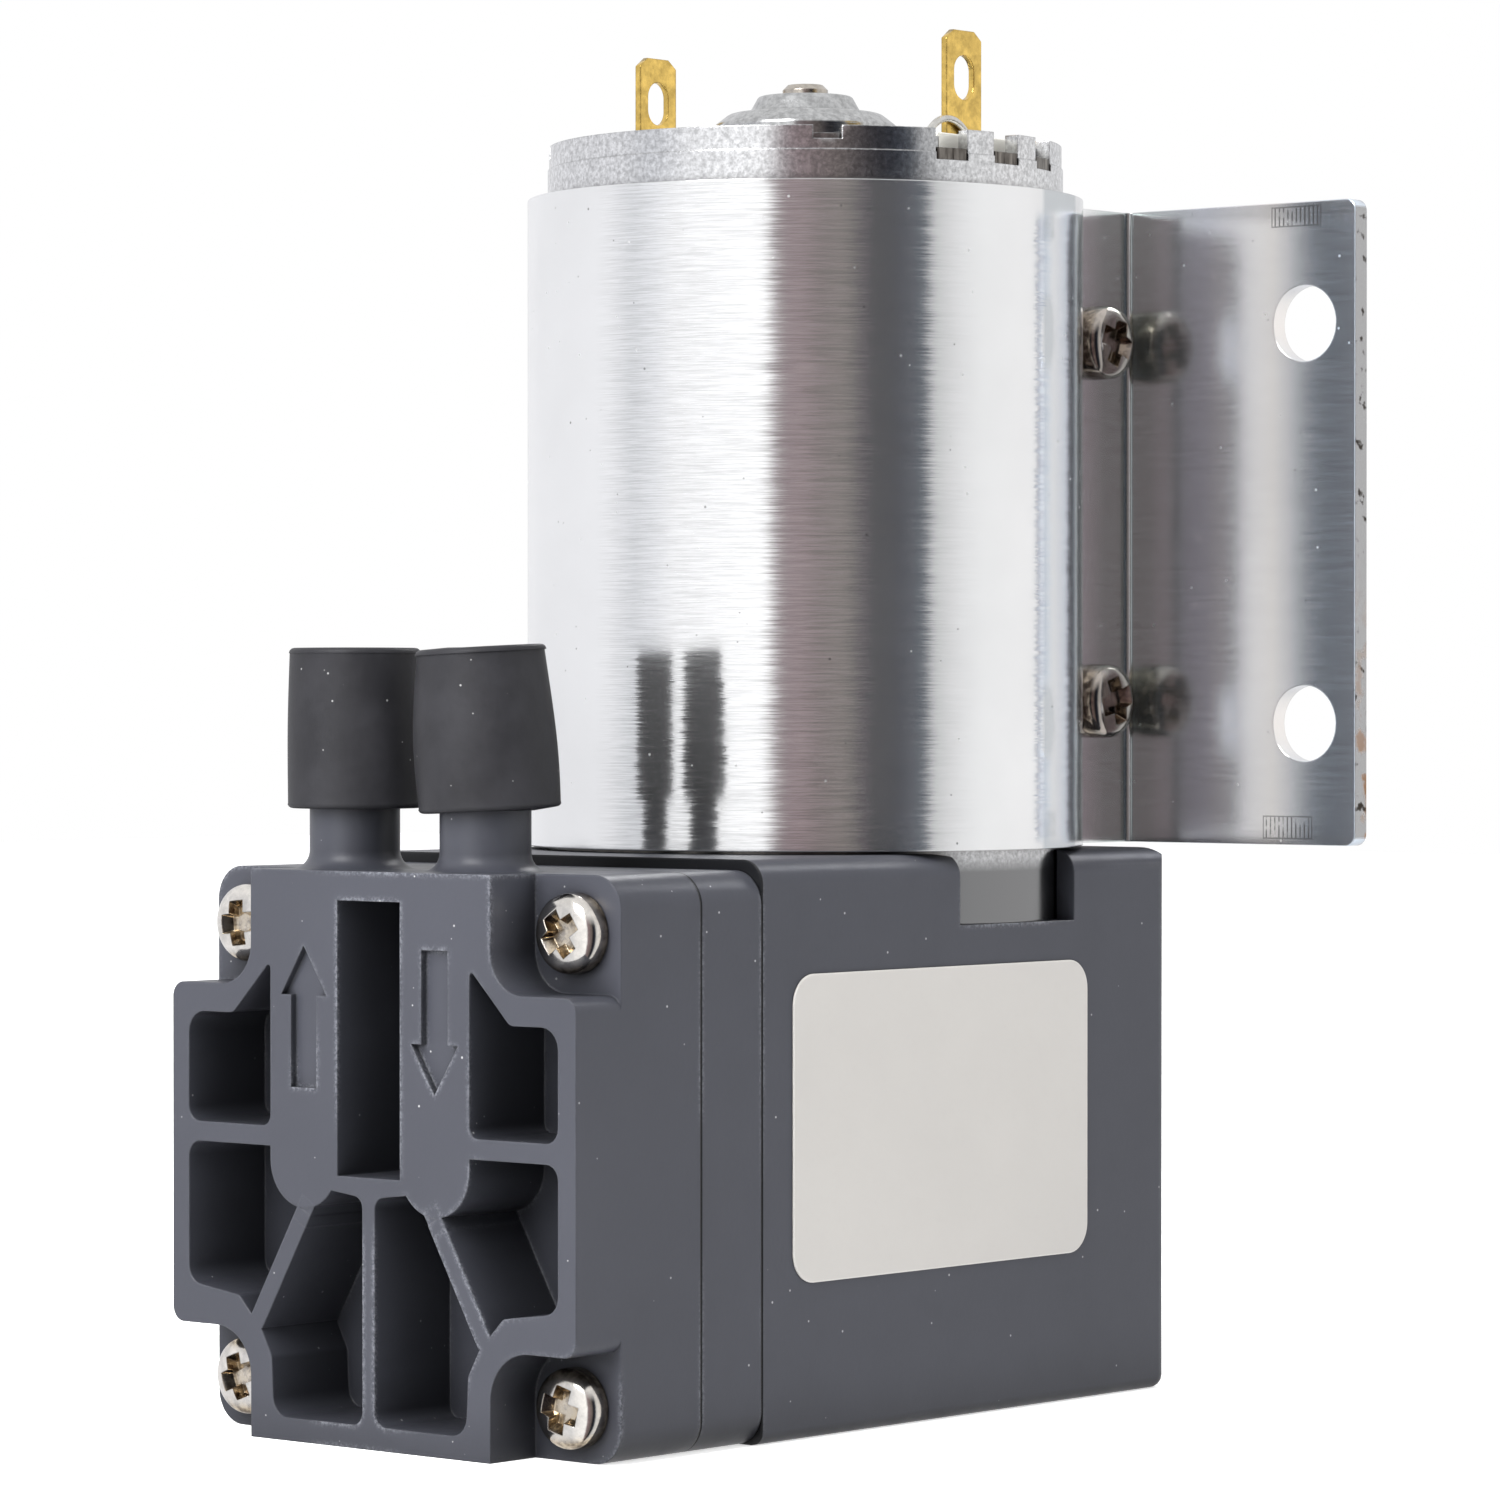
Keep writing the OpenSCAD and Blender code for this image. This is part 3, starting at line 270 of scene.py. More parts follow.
    def hollows(self, reach: float, start: float = 0.75, full: float = 0.25) -> Socket:
        """Mask that is 1 deep in recesses and 0 in the open.

        Args:
            reach: How far the surroundings count, in metres.
            start: Open share where the mask starts.
            full: Open share where it is full.

        Returns:
            The mask.
        """
        open_share = self.add("ShaderNodeAmbientOcclusion", {"Distance": reach},
                              samples=8).outputs["AO"]
        return self.band(open_share, start, full)

    def within(self, value: Socket, low: float, high: float, soft: float) -> Socket:
        """Mask that is 1 between two values and falls to 0 past each.

        Args:
            value: The value.
            low: Lower value.
            high: Upper value.
            soft: Width of the fall.

        Returns:
            The mask.
        """
        return self.times(self.band(value, low - soft, low),
                          self.band(value, high + soft, high))

    def surface(self, **inputs: object) -> None:
        """Ends the sheet in the main shader.

        Args:
            **inputs: Inputs of the shader, with underscores for spaces.
        """
        named = {}
        for key, value in inputs.items():
            if isinstance(value, tuple) and len(value) == 3:
                value = (*value, 1.0)
            named[key.replace("_", " ")] = value
        shader = self.add("ShaderNodeBsdfPrincipled", named)
        self.add("ShaderNodeOutputMaterial", {"Surface": shader.outputs[0]})


@dataclass(frozen=True)
class Finish:
    """A surface finish; its material is made once and shared by what wears it."""

    name: str
    colour: Colour
    roughness: float

    def material(self) -> bpy.types.Material:
        """The finish's material, made when it is first asked for."""
        title = f"{self.name}_finish"
        found = bpy.data.materials.get(title)
        if found is None:
            found = bpy.data.materials.new(title)
            self.build(Sheet(found))
        return found

    def build(self, sheet: Sheet) -> None:
        """Fills the sheet; a plain finish has soft clouds in its colour and roughness.

        Args:
            sheet: The material's sheet.
        """
        cloud = sheet.noise(180.0)
        sheet.surface(
            Base_Color=sheet.blend(sheet.band(cloud, 0.3, 0.7), self.tinted(0.9), self.tinted(1.1)),
            Roughness=sheet.band(cloud, 0.3, 0.7, self.roughness * 0.85, self.roughness * 1.15),
            Normal=sheet.bump(sheet.noise(2200.0), 0.00001, 0.3))

    def tinted(self, factor: float) -> Colour:
        """The colour made lighter or darker.

        Args:
            factor: Factor on each channel.

        Returns:
            The new colour.
        """
        return tuple(min(1.0, channel * factor) for channel in self.colour)


@dataclass(frozen=True)
class MouldedPlastic(Finish):
    """Satin moulded plastic with fine grain, a little dust and dark seams, edges in another tone
    that is partly wear and partly painted highlight, painted glints on rounded edges and painted
    shade in its hollows.
    """

    edge_radius: float = 0.22 * MM
    dust: float = 0.5
    # Strength of the painted shade deep in hollows and pockets
    shade: float = 0.85
    dust_colour: Colour = (0.5, 0.5, 0.5)
    # Edge colour and its share: wear, and on the housing also a painted highlight along the edges
    edge_wear_and_light: Colour = (0.15, 0.155, 0.175)
    edge_wear_and_light_share: float = 0.24
    # Painted highlight: strength, colour and reach of grainy glints painted on rounded edges and
    # corners
    painted_glint: float = 0.45
    painted_glint_colour: Colour = (0.26, 0.27, 0.30)
    painted_glint_reach: float = 0.75 * MM
    shine: float = 0.3
    seams: tuple[float, ...] = ()

    def build(self, sheet: Sheet) -> None:
        """Fills the sheet."""
        cloud = sheet.noise(45.0, 4.0)
        body = sheet.blend(sheet.band(cloud, 0.3, 0.7), self.tinted(0.93), self.tinted(1.07))
        # Edge tone: wear, and on the paler housing edges also a painted highlight
        edge_wear_and_light = sheet.times(sheet.edges(self.edge_radius),
                           sheet.band(sheet.noise(260.0, 4.0), 0.3, 0.7))
        depth = sheet.along(sheet.place)[1]
        seam = None
        for place in self.seams:
            near = sheet.within(depth, place - 0.4 * MM, place + 0.4 * MM, 0.1 * MM)
            edge_wear_and_light = sheet.times(edge_wear_and_light, sheet.apply("SUBTRACT", 1.0, near))
            line = sheet.within(depth, place - 0.08 * MM, place + 0.08 * MM, 0.06 * MM)
            seam = line if seam is None else sheet.plus(seam, line)
        body = sheet.blend(sheet.times(edge_wear_and_light, self.edge_wear_and_light_share), body, self.edge_wear_and_light)
        # Painted highlight: grainy glints painted in patches on rounded edges and corners
        sparkle = sheet.times(sheet.band(sheet.noise(5200.0, 2.0), 0.42, 0.62),
                              sheet.band(sheet.noise(75.0, 1.0), 0.5, 0.6))
        painted_glints = sheet.times(sheet.edges(self.painted_glint_reach), sparkle)
        body = sheet.blend(sheet.times(painted_glints, self.painted_glint), body, self.painted_glint_colour)
        speck = sheet.plus(sheet.specks(520.0, 0.05, 0.7), sheet.specks(900.0, 0.065, 0.5))
        body = sheet.blend(sheet.times(speck, self.dust), body, self.dust_colour)
        # Painted shade: the colour is darkened deep in hollows and pockets
        body = sheet.blend(sheet.times(sheet.hollows(9 * MM), self.shade), body,
                           self.tinted(0.3))
        if seam is not None:
            body = sheet.blend(sheet.times(seam, 0.92), body, self.tinted(0.05))
        grain = sheet.bump(sheet.noise(2600.0, 3.0), 0.00002, 0.35,
                           sheet.rounded_normal(self.edge_radius))
        rough = sheet.band(sheet.noise(420.0, 4.0), 0.3, 0.7,
                           self.roughness * 0.88, self.roughness * 1.12)
        sheet.surface(Base_Color=body, Roughness=rough, Normal=grain, IOR=1.47,
                      Specular_IOR_Level=self.shine)


@dataclass(frozen=True)
class Rubber(Finish):
    """Matt black rubber with a faint bloom and dust."""

    dust_colour: Colour = (0.35, 0.35, 0.35)

    def build(self, sheet: Sheet) -> None:
        """Fills the sheet."""
        bloom = sheet.band(sheet.noise(240.0, 5.0, 0.65), 0.4, 0.75)
        body = sheet.blend(sheet.times(bloom, 0.5), self.colour, self.tinted(2.2))
        speck = sheet.times(sheet.specks(800.0, 0.07, 0.8), 0.5)
        body = sheet.blend(speck, body, self.dust_colour)
        drawn = sheet.noise(500.0, 3.0, 0.5, (1.0, 1.0, 0.12))
        normal = sheet.bump(sheet.noise(1800.0, 4.0), 0.00003, 0.5,
                            sheet.bump(drawn, 0.00005, 0.35))
        rough = sheet.band(bloom, 0.0, 1.0, self.roughness * 0.9, self.roughness * 1.1)
        sheet.surface(Base_Color=body, Roughness=rough, Normal=normal, Specular_IOR_Level=0.22)


@dataclass(frozen=True)
class RolledSheet(Finish):
    """Bright rolled sheet metal, brushed round the motor, duller on the leg with its cut edge, with
    a painted reflection band on the strap and painted reflections and shade on the leg.
    """

    brushed_x: tuple[float, float] = (1.5 * MM, 13.0 * MM)
    # Painted reflection: depths between which a band of the strap is painted in a darker bluish
    # tone, and that tone
    painted_reflection_band: tuple[float, float] = (2.6 * MM, 7.6 * MM)
    painted_reflection_tone: Colour = (0.56, 0.585, 0.61)
    leg_y: float = 17.0 * MM
    leg_haze: float = 0.025
    # Painted reflections and shade: tone at places across the leg, darker by the ear, bluish by the
    # free edge
    leg_reflection_tones: tuple[tuple[float, Colour], ...] = (
        (13.0 * MM, (0.59, 0.63, 0.63)), (18.2 * MM, (0.66, 0.68, 0.74)),
        (24.0 * MM, (0.87, 0.84, 0.82)), (29.0 * MM, (0.72, 0.79, 0.88)))
    edge_x: float = 30.6 * MM
    rust_top: float = 58.0 * MM
    rust_colour: Colour = (0.17, 0.085, 0.035)
    spot_colour: Colour = (0.035, 0.028, 0.022)
    grips: tuple[tuple[float, float, float, float], ...] = (
        (23.3 * MM, 27.3 * MM, 38.5 * MM, 39.9 * MM), (24.0 * MM, 28.0 * MM, 81.1 * MM, 82.3 * MM))
    grip_pitch: float = 0.36 * MM
    soft: float = 0.03 * MM
    fray: float = 0.048
    fog: float = 0.034

    def build(self, sheet: Sheet) -> None:
        """Fills the sheet."""
        streak = sheet.noise(260.0, 5.0, 0.7, (1.0, 1.0, 14.0))
        fine = sheet.noise(2600.0, 3.0, 0.6, (0.35, 0.35, 1.0))
        cloud = sheet.noise(60.0, 4.0)
        pit = sheet.plus(sheet.specks(420.0, 0.045, 0.8), sheet.specks(750.0, 0.055, 0.5))
        glint = sheet.specks(640.0, 0.07, 0.6)
        at = sheet.along(sheet.place)
        leg = sheet.band(at[1], self.leg_y, self.leg_y + 2.5 * MM)
        body = sheet.blend(sheet.band(cloud, 0.3, 0.7), self.tinted(0.95), self.tinted(1.04))
        hair = sheet.times(sheet.within(at[0], *self.brushed_x, 4.0 * MM),
                           sheet.band(sheet.noise(900.0, 4.0, 0.75, (0.3, 0.3, 12.0)), 0.42, 0.62))
        hair = sheet.times(hair, sheet.band(at[1], 0.0, -10.0 * MM))
        body = sheet.blend(sheet.times(hair, 0.6), body, self.tinted(0.62))
        # Painted reflection: a darker bluish band painted on the strap
        painted_reflection_band = sheet.times(sheet.within(at[1], *self.painted_reflection_band, 0.5 * MM),
                            sheet.band(at[0], 0.0, 5.0 * MM))
        body = sheet.blend(painted_reflection_band, body, self.painted_reflection_tone)
        # Painted reflection bands and painted shade across the leg
        body = sheet.blend(leg, body, self.painted_leg_reflections(sheet, at[0]))
        body = sheet.blend(sheet.times(pit, 0.7), body, self.tinted(0.2))
        facing = sheet.along(sheet.add("ShaderNodeNewGeometry").outputs["True Normal"])
        edge = sheet.times(sheet.band(at[0], self.edge_x, self.edge_x + 0.1 * MM),
                           sheet.band(facing[0], 0.9, 0.96))
        body = sheet.blend(edge, body, self.tinted(0.5))
        spots = sheet.band(sheet.noise(900.0, 4.0), 0.6, 0.66)
        body = sheet.blend(sheet.times(edge, spots), body, self.spot_colour)
        low_part = sheet.band(at[2], self.rust_top, self.rust_top - 16 * MM)
        rust = sheet.times(sheet.times(edge, low_part),
                           sheet.band(sheet.noise(520.0, 4.0), 0.5, 0.6))
        body = sheet.blend(rust, body, self.rust_colour)
        grip = self.grip_marks(sheet, at)
        body = sheet.blend(sheet.times(grip, 0.75), body, self.tinted(0.15))
        base_rough = sheet.band(streak, 0.3, 0.7, self.roughness * 0.75, self.roughness * 1.3)
        rough = sheet.plus(base_rough, sheet.times(rust, 0.4))
        rough = sheet.plus(rough, sheet.times(glint, 0.35))
        rough = sheet.plus(rough, sheet.times(leg, self.leg_haze))
        normal = sheet.bump(fine, 0.000008, 0.2, self.brushed(sheet, leg))
        metal = sheet.band(rust, 0.0, 1.0, 1.0 - self.fog, 0.2)
        sheet.surface(Base_Color=body, Roughness=rough, Normal=normal, Metallic=metal)

    def painted_leg_reflections(self, sheet: Sheet, across: Socket) -> Socket:
        """Painted reflection bands across the leg, with painted shade by the ear and a bluish
        painted reflection by its free edge.

        Args:
            sheet: The material's sheet.
            across: Place along the leg.

        Returns:
            The colour.
        """
        tone = self.leg_reflection_tones[0][1]
        for (start, _), (end, colour) in zip(self.leg_reflection_tones, self.leg_reflection_tones[1:]):
            tone = sheet.blend(sheet.band(across, start, end), tone, colour)
        return tone

    def grip_marks(self, sheet: Sheet, at: Sequence[Socket]) -> Socket:
        """Fine upright lines where the press tool gripped the leg's top and bottom edges.

        Args:
            sheet: The material's sheet.
            at: Place of the point along each axis.

        Returns:
            The mask of the lines.
        """
        wave = sheet.apply("SINE", sheet.times(at[0], FULL_TURN / self.grip_pitch))
        lines = sheet.times(sheet.band(wave, 0.35, 0.8),
                            sheet.band(sheet.noise(1300.0, 2.0), 0.38, 0.5))
        patches = []
        for limits in self.grips:
            inner = self.patch(sheet, at, limits, 0.0)
            outer = self.patch(sheet, at, limits, 0.1 * MM)
            border = sheet.times(sheet.apply("SUBTRACT", outer, inner), 0.7)
            patches.append(sheet.plus(border, sheet.times(inner, lines)))
        return sheet.times(sheet.plus(*patches),
                           sheet.band(at[1], self.leg_y, self.leg_y + 1.0 * MM))

    def patch(self, sheet: Sheet, at: Sequence[Socket], limits: Sequence[float],
              grow: float) -> Socket:
        """Mask of one patch of the leg.

        Args:
            sheet: The material's sheet.
            at: Place of the point along each axis.
            limits: Left, right, lower and upper limit of the patch.
            grow: How far it is grown past them.

        Returns:
            The mask.
        """
        left, right, low, high = limits
        return sheet.times(sheet.within(at[0], left - grow, right + grow, self.soft),
                           sheet.within(at[2], low - grow, high + grow, self.soft))

    def brushed(self, sheet: Sheet, leg: Socket) -> Socket:
        """Normal that leans a little to the left or right from one brush line to the next.

        Args:
            sheet: The material's sheet.
            leg: Mask of the leg, which is less brushed.

        Returns:
            The leaning normal.
        """
        upright = sheet.rounded_normal(0.00012)
        along = sheet.vector("CROSS_PRODUCT", (0.0, 0.0, 1.0), upright)[0]
        fine = sheet.noise(900.0, 3.0, 0.7, (0.3, 0.3, 12.0))
        coarse = sheet.band(sheet.noise(800.0, 3.0, 0.6, (0.3, 0.3, 3.0)), 0.0, 1.0, 0.3, 0.7)
        lines = sheet.plus(fine, coarse)
        swing = sheet.times(sheet.band(lines, 0.5, 1.5, -self.fray, self.fray),
                            sheet.band(leg, 0.0, 1.0, 1.0, 0.12))
        lean = sheet.add("ShaderNodeVectorMath", {0: along, "Scale": swing},
                         operation="SCALE").outputs[0]
        return sheet.vector("NORMALIZE", sheet.vector("ADD", upright, lean)[0])[0]


@dataclass(frozen=True)
class PlatedSteel(Finish):
    """Plated steel with a speckled grain, painted dark lines of shade along its edges, soiled
    hollows darkened with painted shade, and painted shade on set-back tabs and low down.
    """

    grain: float = 1500.0
    depth: float = 0.00002
    speckle: float = 0.18
    stain: float = 0.5
    # Grime and painted shade in hollows: strength, reach, open shares where it starts and is full,
    # and its two colours
    grime_and_shade: float = 0.0
    grime_and_shade_reach: float = 0.9 * MM
    grime_and_shade_start: float = 0.75
    grime_and_shade_full: float = 0.25
    grime_and_shade_colours: tuple[Colour, Colour] = ((0.05, 0.045, 0.04), (0.10, 0.09, 0.08))
    # Painted shade: strength and reach of dark lines painted along the edges
    outline: float = 0.0
    outline_reach: float = 0.16 * MM
    # Painted shade on the set-back tabs past this radius, in two streaked dark colours
    tab_radius: float = 0.0
    tab_shade_colours: tuple[Colour, Colour] = ((0.055, 0.048, 0.042), (0.24, 0.22, 0.20))
    # Painted shade below this height
    painted_shade_below: float = 0.0

    def build(self, sheet: Sheet) -> None:
        """Fills the sheet."""
        grain = sheet.noise(self.grain, 4.0, 0.65)
        cloud = sheet.noise(120.0, 4.0, 0.6)
        body = sheet.blend(sheet.band(grain, 0.35, 0.65), self.tinted(1 - self.speckle),
                           self.tinted(1 + self.speckle * 0.45))
        dark = sheet.times(sheet.band(cloud, 0.5, 0.75), self.stain)
        body = sheet.blend(dark, body, self.tinted(0.62))
        # Painted shade: dark broken lines painted along the edges
        if self.outline:
            rim = sheet.times(sheet.edges(self.outline_reach),
                              sheet.band(sheet.noise(2100.0, 3.0), 0.36, 0.56))
            body = sheet.blend(sheet.times(rim, self.outline), body, self.tinted(0.12))
        # Grime and painted shade: the colour deep in hollows turns to darker grime colours
        if self.grime_and_shade:
            dirt_and_shade = sheet.times(sheet.hollows(self.grime_and_shade_reach, self.grime_and_shade_start,
                                             self.grime_and_shade_full), self.grime_and_shade)
            mottle = sheet.band(sheet.noise(1500.0, 3.0), 0.4, 0.6)
            body = sheet.blend(dirt_and_shade, body, sheet.blend(mottle, *self.grime_and_shade_colours))
        # Painted shade: the set-back tabs are painted dark, with streaks
        if self.tab_radius:
            flat = sheet.vector("MULTIPLY", sheet.place, (1, 1, 0))[0]
            radius = sheet.vector("LENGTH", flat)["Value"]
            tabs = sheet.band(radius, self.tab_radius, self.tab_radius + 0.1 * MM)
            lines = sheet.band(sheet.noise(2600.0, 3.0, 0.6, (1, 1, 0.15)), 0.35, 0.65)
            body = sheet.blend(tabs, body, sheet.blend(lines, *self.tab_shade_colours))
        # Painted shade: the colour darkens below a given height
        if self.painted_shade_below:
            height = sheet.along(sheet.place)[2]
            body = sheet.blend(sheet.band(height, self.painted_shade_below, self.painted_shade_below - 1.5 * MM),
                               body, self.tinted(0.3))
        rough = sheet.band(cloud, 0.3, 0.7, self.roughness * 0.8, self.roughness * 1.25)
        normal = sheet.bump(grain, self.depth, 0.5, sheet.rounded_normal(0.0001))
        sheet.surface(Base_Color=body, Roughness=rough, Normal=normal, Metallic=1.0)


@dataclass(frozen=True)
class LabelFilm(Finish):
    """Bare label film, satin and silvery white, with a faint waviness and a painted highlight along
    its edges.
    """

    def build(self, sheet: Sheet) -> None:
        """Fills the sheet."""
        fibre = sheet.noise(1400.0, 4.0, 0.6)
        cloud = sheet.noise(70.0, 3.0)
        body = sheet.blend(sheet.band(cloud, 0.3, 0.7), self.tinted(0.97), self.tinted(1.02))
        body = sheet.blend(sheet.times(sheet.band(fibre, 0.55, 0.75), 0.08), body,
                           self.tinted(0.8))
        # Painted highlight: the colour is lighter along the edges
        body = sheet.blend(sheet.edges(0.22 * MM), body, self.tinted(1.5))
        normal = sheet.bump(cloud, 0.00006, 0.4, sheet.bump(fibre, 0.000008, 0.3))
        sheet.surface(Base_Color=body, Roughness=self.roughness, Normal=normal, Metallic=0.15)


# Screw wear with grime and painted shade in the recesses and painted shade lines along the edges
SCREW_WEAR_AND_SHADE = {"grain": 900.0, "stain": 0.3, "grime_and_shade": 0.95, "grime_and_shade_reach": 2.2 * MM,
              "grime_and_shade_start": 0.93, "grime_and_shade_full": 0.66, "outline": 0.5}


@dataclass(frozen=True)
class Finishes:
    """All the pump's finishes, by the record's material slot."""

    by_slot: dict[str, Finish] = field(default_factory=lambda: {finish.name: finish for finish in (
        MouldedPlastic("housing_plastic", (0.034, 0.0355, 0.044), 0.40,
                       seams=(-25.6 * MM, -31.55 * MM)),
        PlatedSteel("screw_steel", (0.78, 0.75, 0.71), 0.13, **SCREW_WEAR_AND_SHADE,
                    grime_and_shade_colours=((0.15, 0.11, 0.07), (0.62, 0.52, 0.38))),
        PlatedSteel("black_steel", (0.08, 0.08, 0.085), 0.4),
        Rubber("black_rubber", (0.0125, 0.0125, 0.0145), 0.55),
        LabelFilm("label_film", (0.351, 0.339, 0.325), 0.40),
        # Zinc: painted shade in its hollows, along its edges and low on the can
        PlatedSteel("zinc_plate", (0.72, 0.725, 0.74), 0.2, grain=3200.0,
                    depth=0.000005, speckle=0.34, stain=0.15, grime_and_shade=0.95,
                    grime_and_shade_reach=1.3 * MM, outline=0.6, painted_shade_below=38.0 * MM),
        Finish("ferrite", (0.05, 0.05, 0.055), 0.6),
        PlatedSteel("bronze", (0.52, 0.34, 0.17), 0.4),
        MouldedPlastic("white_plastic", (0.62, 0.61, 0.565), 0.45, dust=0.0, shade=0.0,
                       edge_wear_and_light=(0.25, 0.25, 0.23), painted_glint=0.0, shine=0.5),
        # Brass: painted shade in its hollows and along its edges
        PlatedSteel("brass", (0.80, 0.55, 0.15), 0.2, grain=1100.0, speckle=0.3, stain=0.5,
                    grime_and_shade=0.5, grime_and_shade_colours=((0.06, 0.035, 0.01), (0.2, 0.12, 0.03)),
                    outline=0.8, outline_reach=0.22 * MM),
        PlatedSteel("tinned_wire", (0.66, 0.65, 0.62), 0.25),
        Finish("carbon", (0.035, 0.035, 0.036), 0.65),
        RolledSheet("bright_sheet", (0.80, 0.805, 0.815), 0.12),
        PlatedSteel("ground_steel", (0.50, 0.46, 0.41), 0.25, stain=0.4),
        PlatedSteel("core_steel", (0.22, 0.22, 0.23), 0.45),
        PlatedSteel("copper", (0.66, 0.30, 0.16), 0.32),
        PlatedSteel("cast_alloy", (0.21, 0.21, 0.207), 0.42, grain=800.0),
    )})

    variants: dict[str, Finish] = field(default_factory=lambda: {
        # End plate: painted shade in its hollows, along its edges and on its set-back tabs
        "bearing_boss": PlatedSteel("end_plate", (0.50, 0.505, 0.51), 0.2, grain=2200.0,
                                    depth=0.000008, speckle=0.3, stain=0.3, grime_and_shade=0.9,
                                    outline=0.75, tab_radius=16.8 * MM),
        "clamp_screws": PlatedSteel("clamp_screw", (0.46, 0.42, 0.385), 0.13, **SCREW_WEAR_AND_SHADE,
                                    grime_and_shade_colours=((0.07, 0.05, 0.035), (0.34, 0.28, 0.22)))})

    def slot_of(self, node: str) -> str:
        """The record's material slot of a node.

        Args:
            node: The node's name.

        Returns:
            The slot's name.
        """
        for entry in frame["record"]["subparts"]:
            if entry["node"] == node:
                return entry["material_slot"]
        raise KeyError(node)

    def dress(self, thing: bpy.types.Object, slot: str, node: str = "") -> None:
        """Gives an object the material of a slot, or its node's own variant of it.

        Args:
            thing: The object.
            slot: The slot's name.
            node: The node that it is or stands for.
        """
        material = self.variants.get(node, self.by_slot[slot]).material()
        if not thing.material_slots:
            thing.data.materials.append(material)
        for place in thing.material_slots:
            place.material = material


@dataclass
class Piece:
    """A dressed piece: the node it stands for and the body it rides on."""

    node: str
    body: Body = Body.HOUSING

    def finish(self, bm: bmesh.types.BMesh, finishes: Finishes,
               smooth_angle: float = 35.0) -> None:
        """Args:
            bm: The mesh, in metres and in place; it is freed.
            finishes: The pump's finishes.
            smooth_angle: Edges below this angle in degrees are shaded smooth.
        """
        limit = math.radians(smooth_angle)
        for face in bm.faces:
            face.smooth = True
        for edge in bm.edges:
            if len(edge.link_faces) == 2:
                edge.smooth = edge.calc_face_angle(0.0) < limit
        thing = as_object(bm, f"{self.node}_dressed")
        even = thing.modifiers.new("even_normals", "WEIGHTED_NORMAL")
        even.keep_sharp = True
        slot = finishes.slot_of(self.node)
        finishes.dress(thing, slot, self.node)
        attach(thing, self.body.value)
        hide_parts(self.node)
        LOG.info("%s: %d faces on %s", thing.name, len(thing.data.polygons), self.body.value)


def as_object(bm: bmesh.types.BMesh, name: str) -> bpy.types.Object:
    """Object at the origin with a mesh.

    Args:
        bm: The mesh; it is freed.
        name: Name of the object.

    Returns:
        The object, linked to the scene.
    """
    mesh = bpy.data.meshes.new(name)
    bm.to_mesh(mesh)
    bm.free()
    thing = bpy.data.objects.new(name, mesh)
    bpy.context.collection.objects.link(thing)
    return thing


def merged_copy(node: str) -> bmesh.types.BMesh:
    """Copy of a node's mesh with its loose triangles merged and its flat faces joined.

    Args:
        node: The node's name.

    Returns:
        The new bmesh.
    """
    bm = bmesh.new()
    bm.from_mesh(frame["nodes"][node].data)
    bmesh.ops.remove_doubles(bm, verts=bm.verts, dist=0.002 * MM)
    bmesh.ops.dissolve_limit(bm, angle_limit=math.radians(0.4), verts=bm.verts, edges=bm.edges)
    return bm


def bevel(bm: bmesh.types.BMesh, edges: list[bmesh.types.BMEdge], width: float,
          segments: int) -> None:
    """Rounds some edges of a mesh.

    Args:
        bm: The mesh.
        edges: The edges.
        width: Width of the rounding in metres.
        segments: Steps of the rounding.
    """
    bmesh.ops.bevel(bm, geom=edges, offset=width, offset_type="OFFSET", segments=segments,
                    profile=0.5, affect="EDGES", clamp_overlap=True, loop_slide=True, material=-1)


def soften(bm: bmesh.types.BMesh, width: float) -> None:
    """Rounds the edges of a mesh that are sharper than SHARP.

    Args:
        bm: The mesh.
        width: Width of the rounding in metres.
    """
    bevel(bm, [edge for edge in bm.edges
               if len(edge.link_faces) == 2 and edge.calc_face_angle(0.0) > SHARP], width, 2)


def round_lower_rim(bm: bmesh.types.BMesh, width: float) -> None:
    """Rounds the outer edge round the bottom of a box-like mesh, but not along its front.

    Args:
        bm: The mesh.
        width: Width of the rounding in metres.
    """
    low = min(vert.co.z for vert in bm.verts)
    depths = [vert.co.y for vert in bm.verts]
    middle = (max(depths) + min(depths)) / 2
    rim = []
    for edge in bm.edges:
        if any(abs(vert.co.z - low) > 0.01 * MM for vert in edge.verts):
            continue
        centre = (edge.verts[0].co + edge.verts[1].co) / 2
        outward = Vector((centre.x, centre.y - middle, 0.0))
        if any(abs(face.normal.z) < 0.1 and face.normal.y > -0.5 and face.normal.dot(outward) > 0
               for face in edge.link_faces):
            rim.append(edge)
    bevel(bm, rim, width, 4)


def turned(profile: Sequence[tuple[float, float]], steps: int) -> bmesh.types.BMesh:
    """Body of revolution about the Z axis.

    Args:
        profile: Radius and height of each point in metres, from one end on the axis to the other.
        steps: Steps of the turn.

    Returns:
        The closed mesh.
    """
    bm = bmesh.new()
    verts = [bm.verts.new((radius, 0.0, height)) for radius, height in profile]
    edges = [bm.edges.new(pair) for pair in zip(verts, verts[1:])]
    bmesh.ops.spin(bm, geom=verts + edges, cent=(0, 0, 0), axis=(0, 0, 1), angle=FULL_TURN,
                   steps=steps, use_merge=True, use_duplicate=False)
    bmesh.ops.remove_doubles(bm, verts=bm.verts, dist=0.001 * MM)
    bmesh.ops.recalc_face_normals(bm, faces=bm.faces)
    return bm


def arc(centre: tuple[float, float], radius: float, start: float, end: float,
        steps: int) -> list[tuple[float, float]]:
    """Points on an arc.

    Args:
        centre: Centre of the arc.
        radius: Radius.
        start: First angle in degrees.
        end: Last angle in degrees.
        steps: Number of steps.

    Returns:
        The points.
    """
    turns = [math.radians(start + (end - start) * i / steps) for i in range(steps + 1)]
    return [(centre[0] + radius * math.cos(t), centre[1] + radius * math.sin(t)) for t in turns]


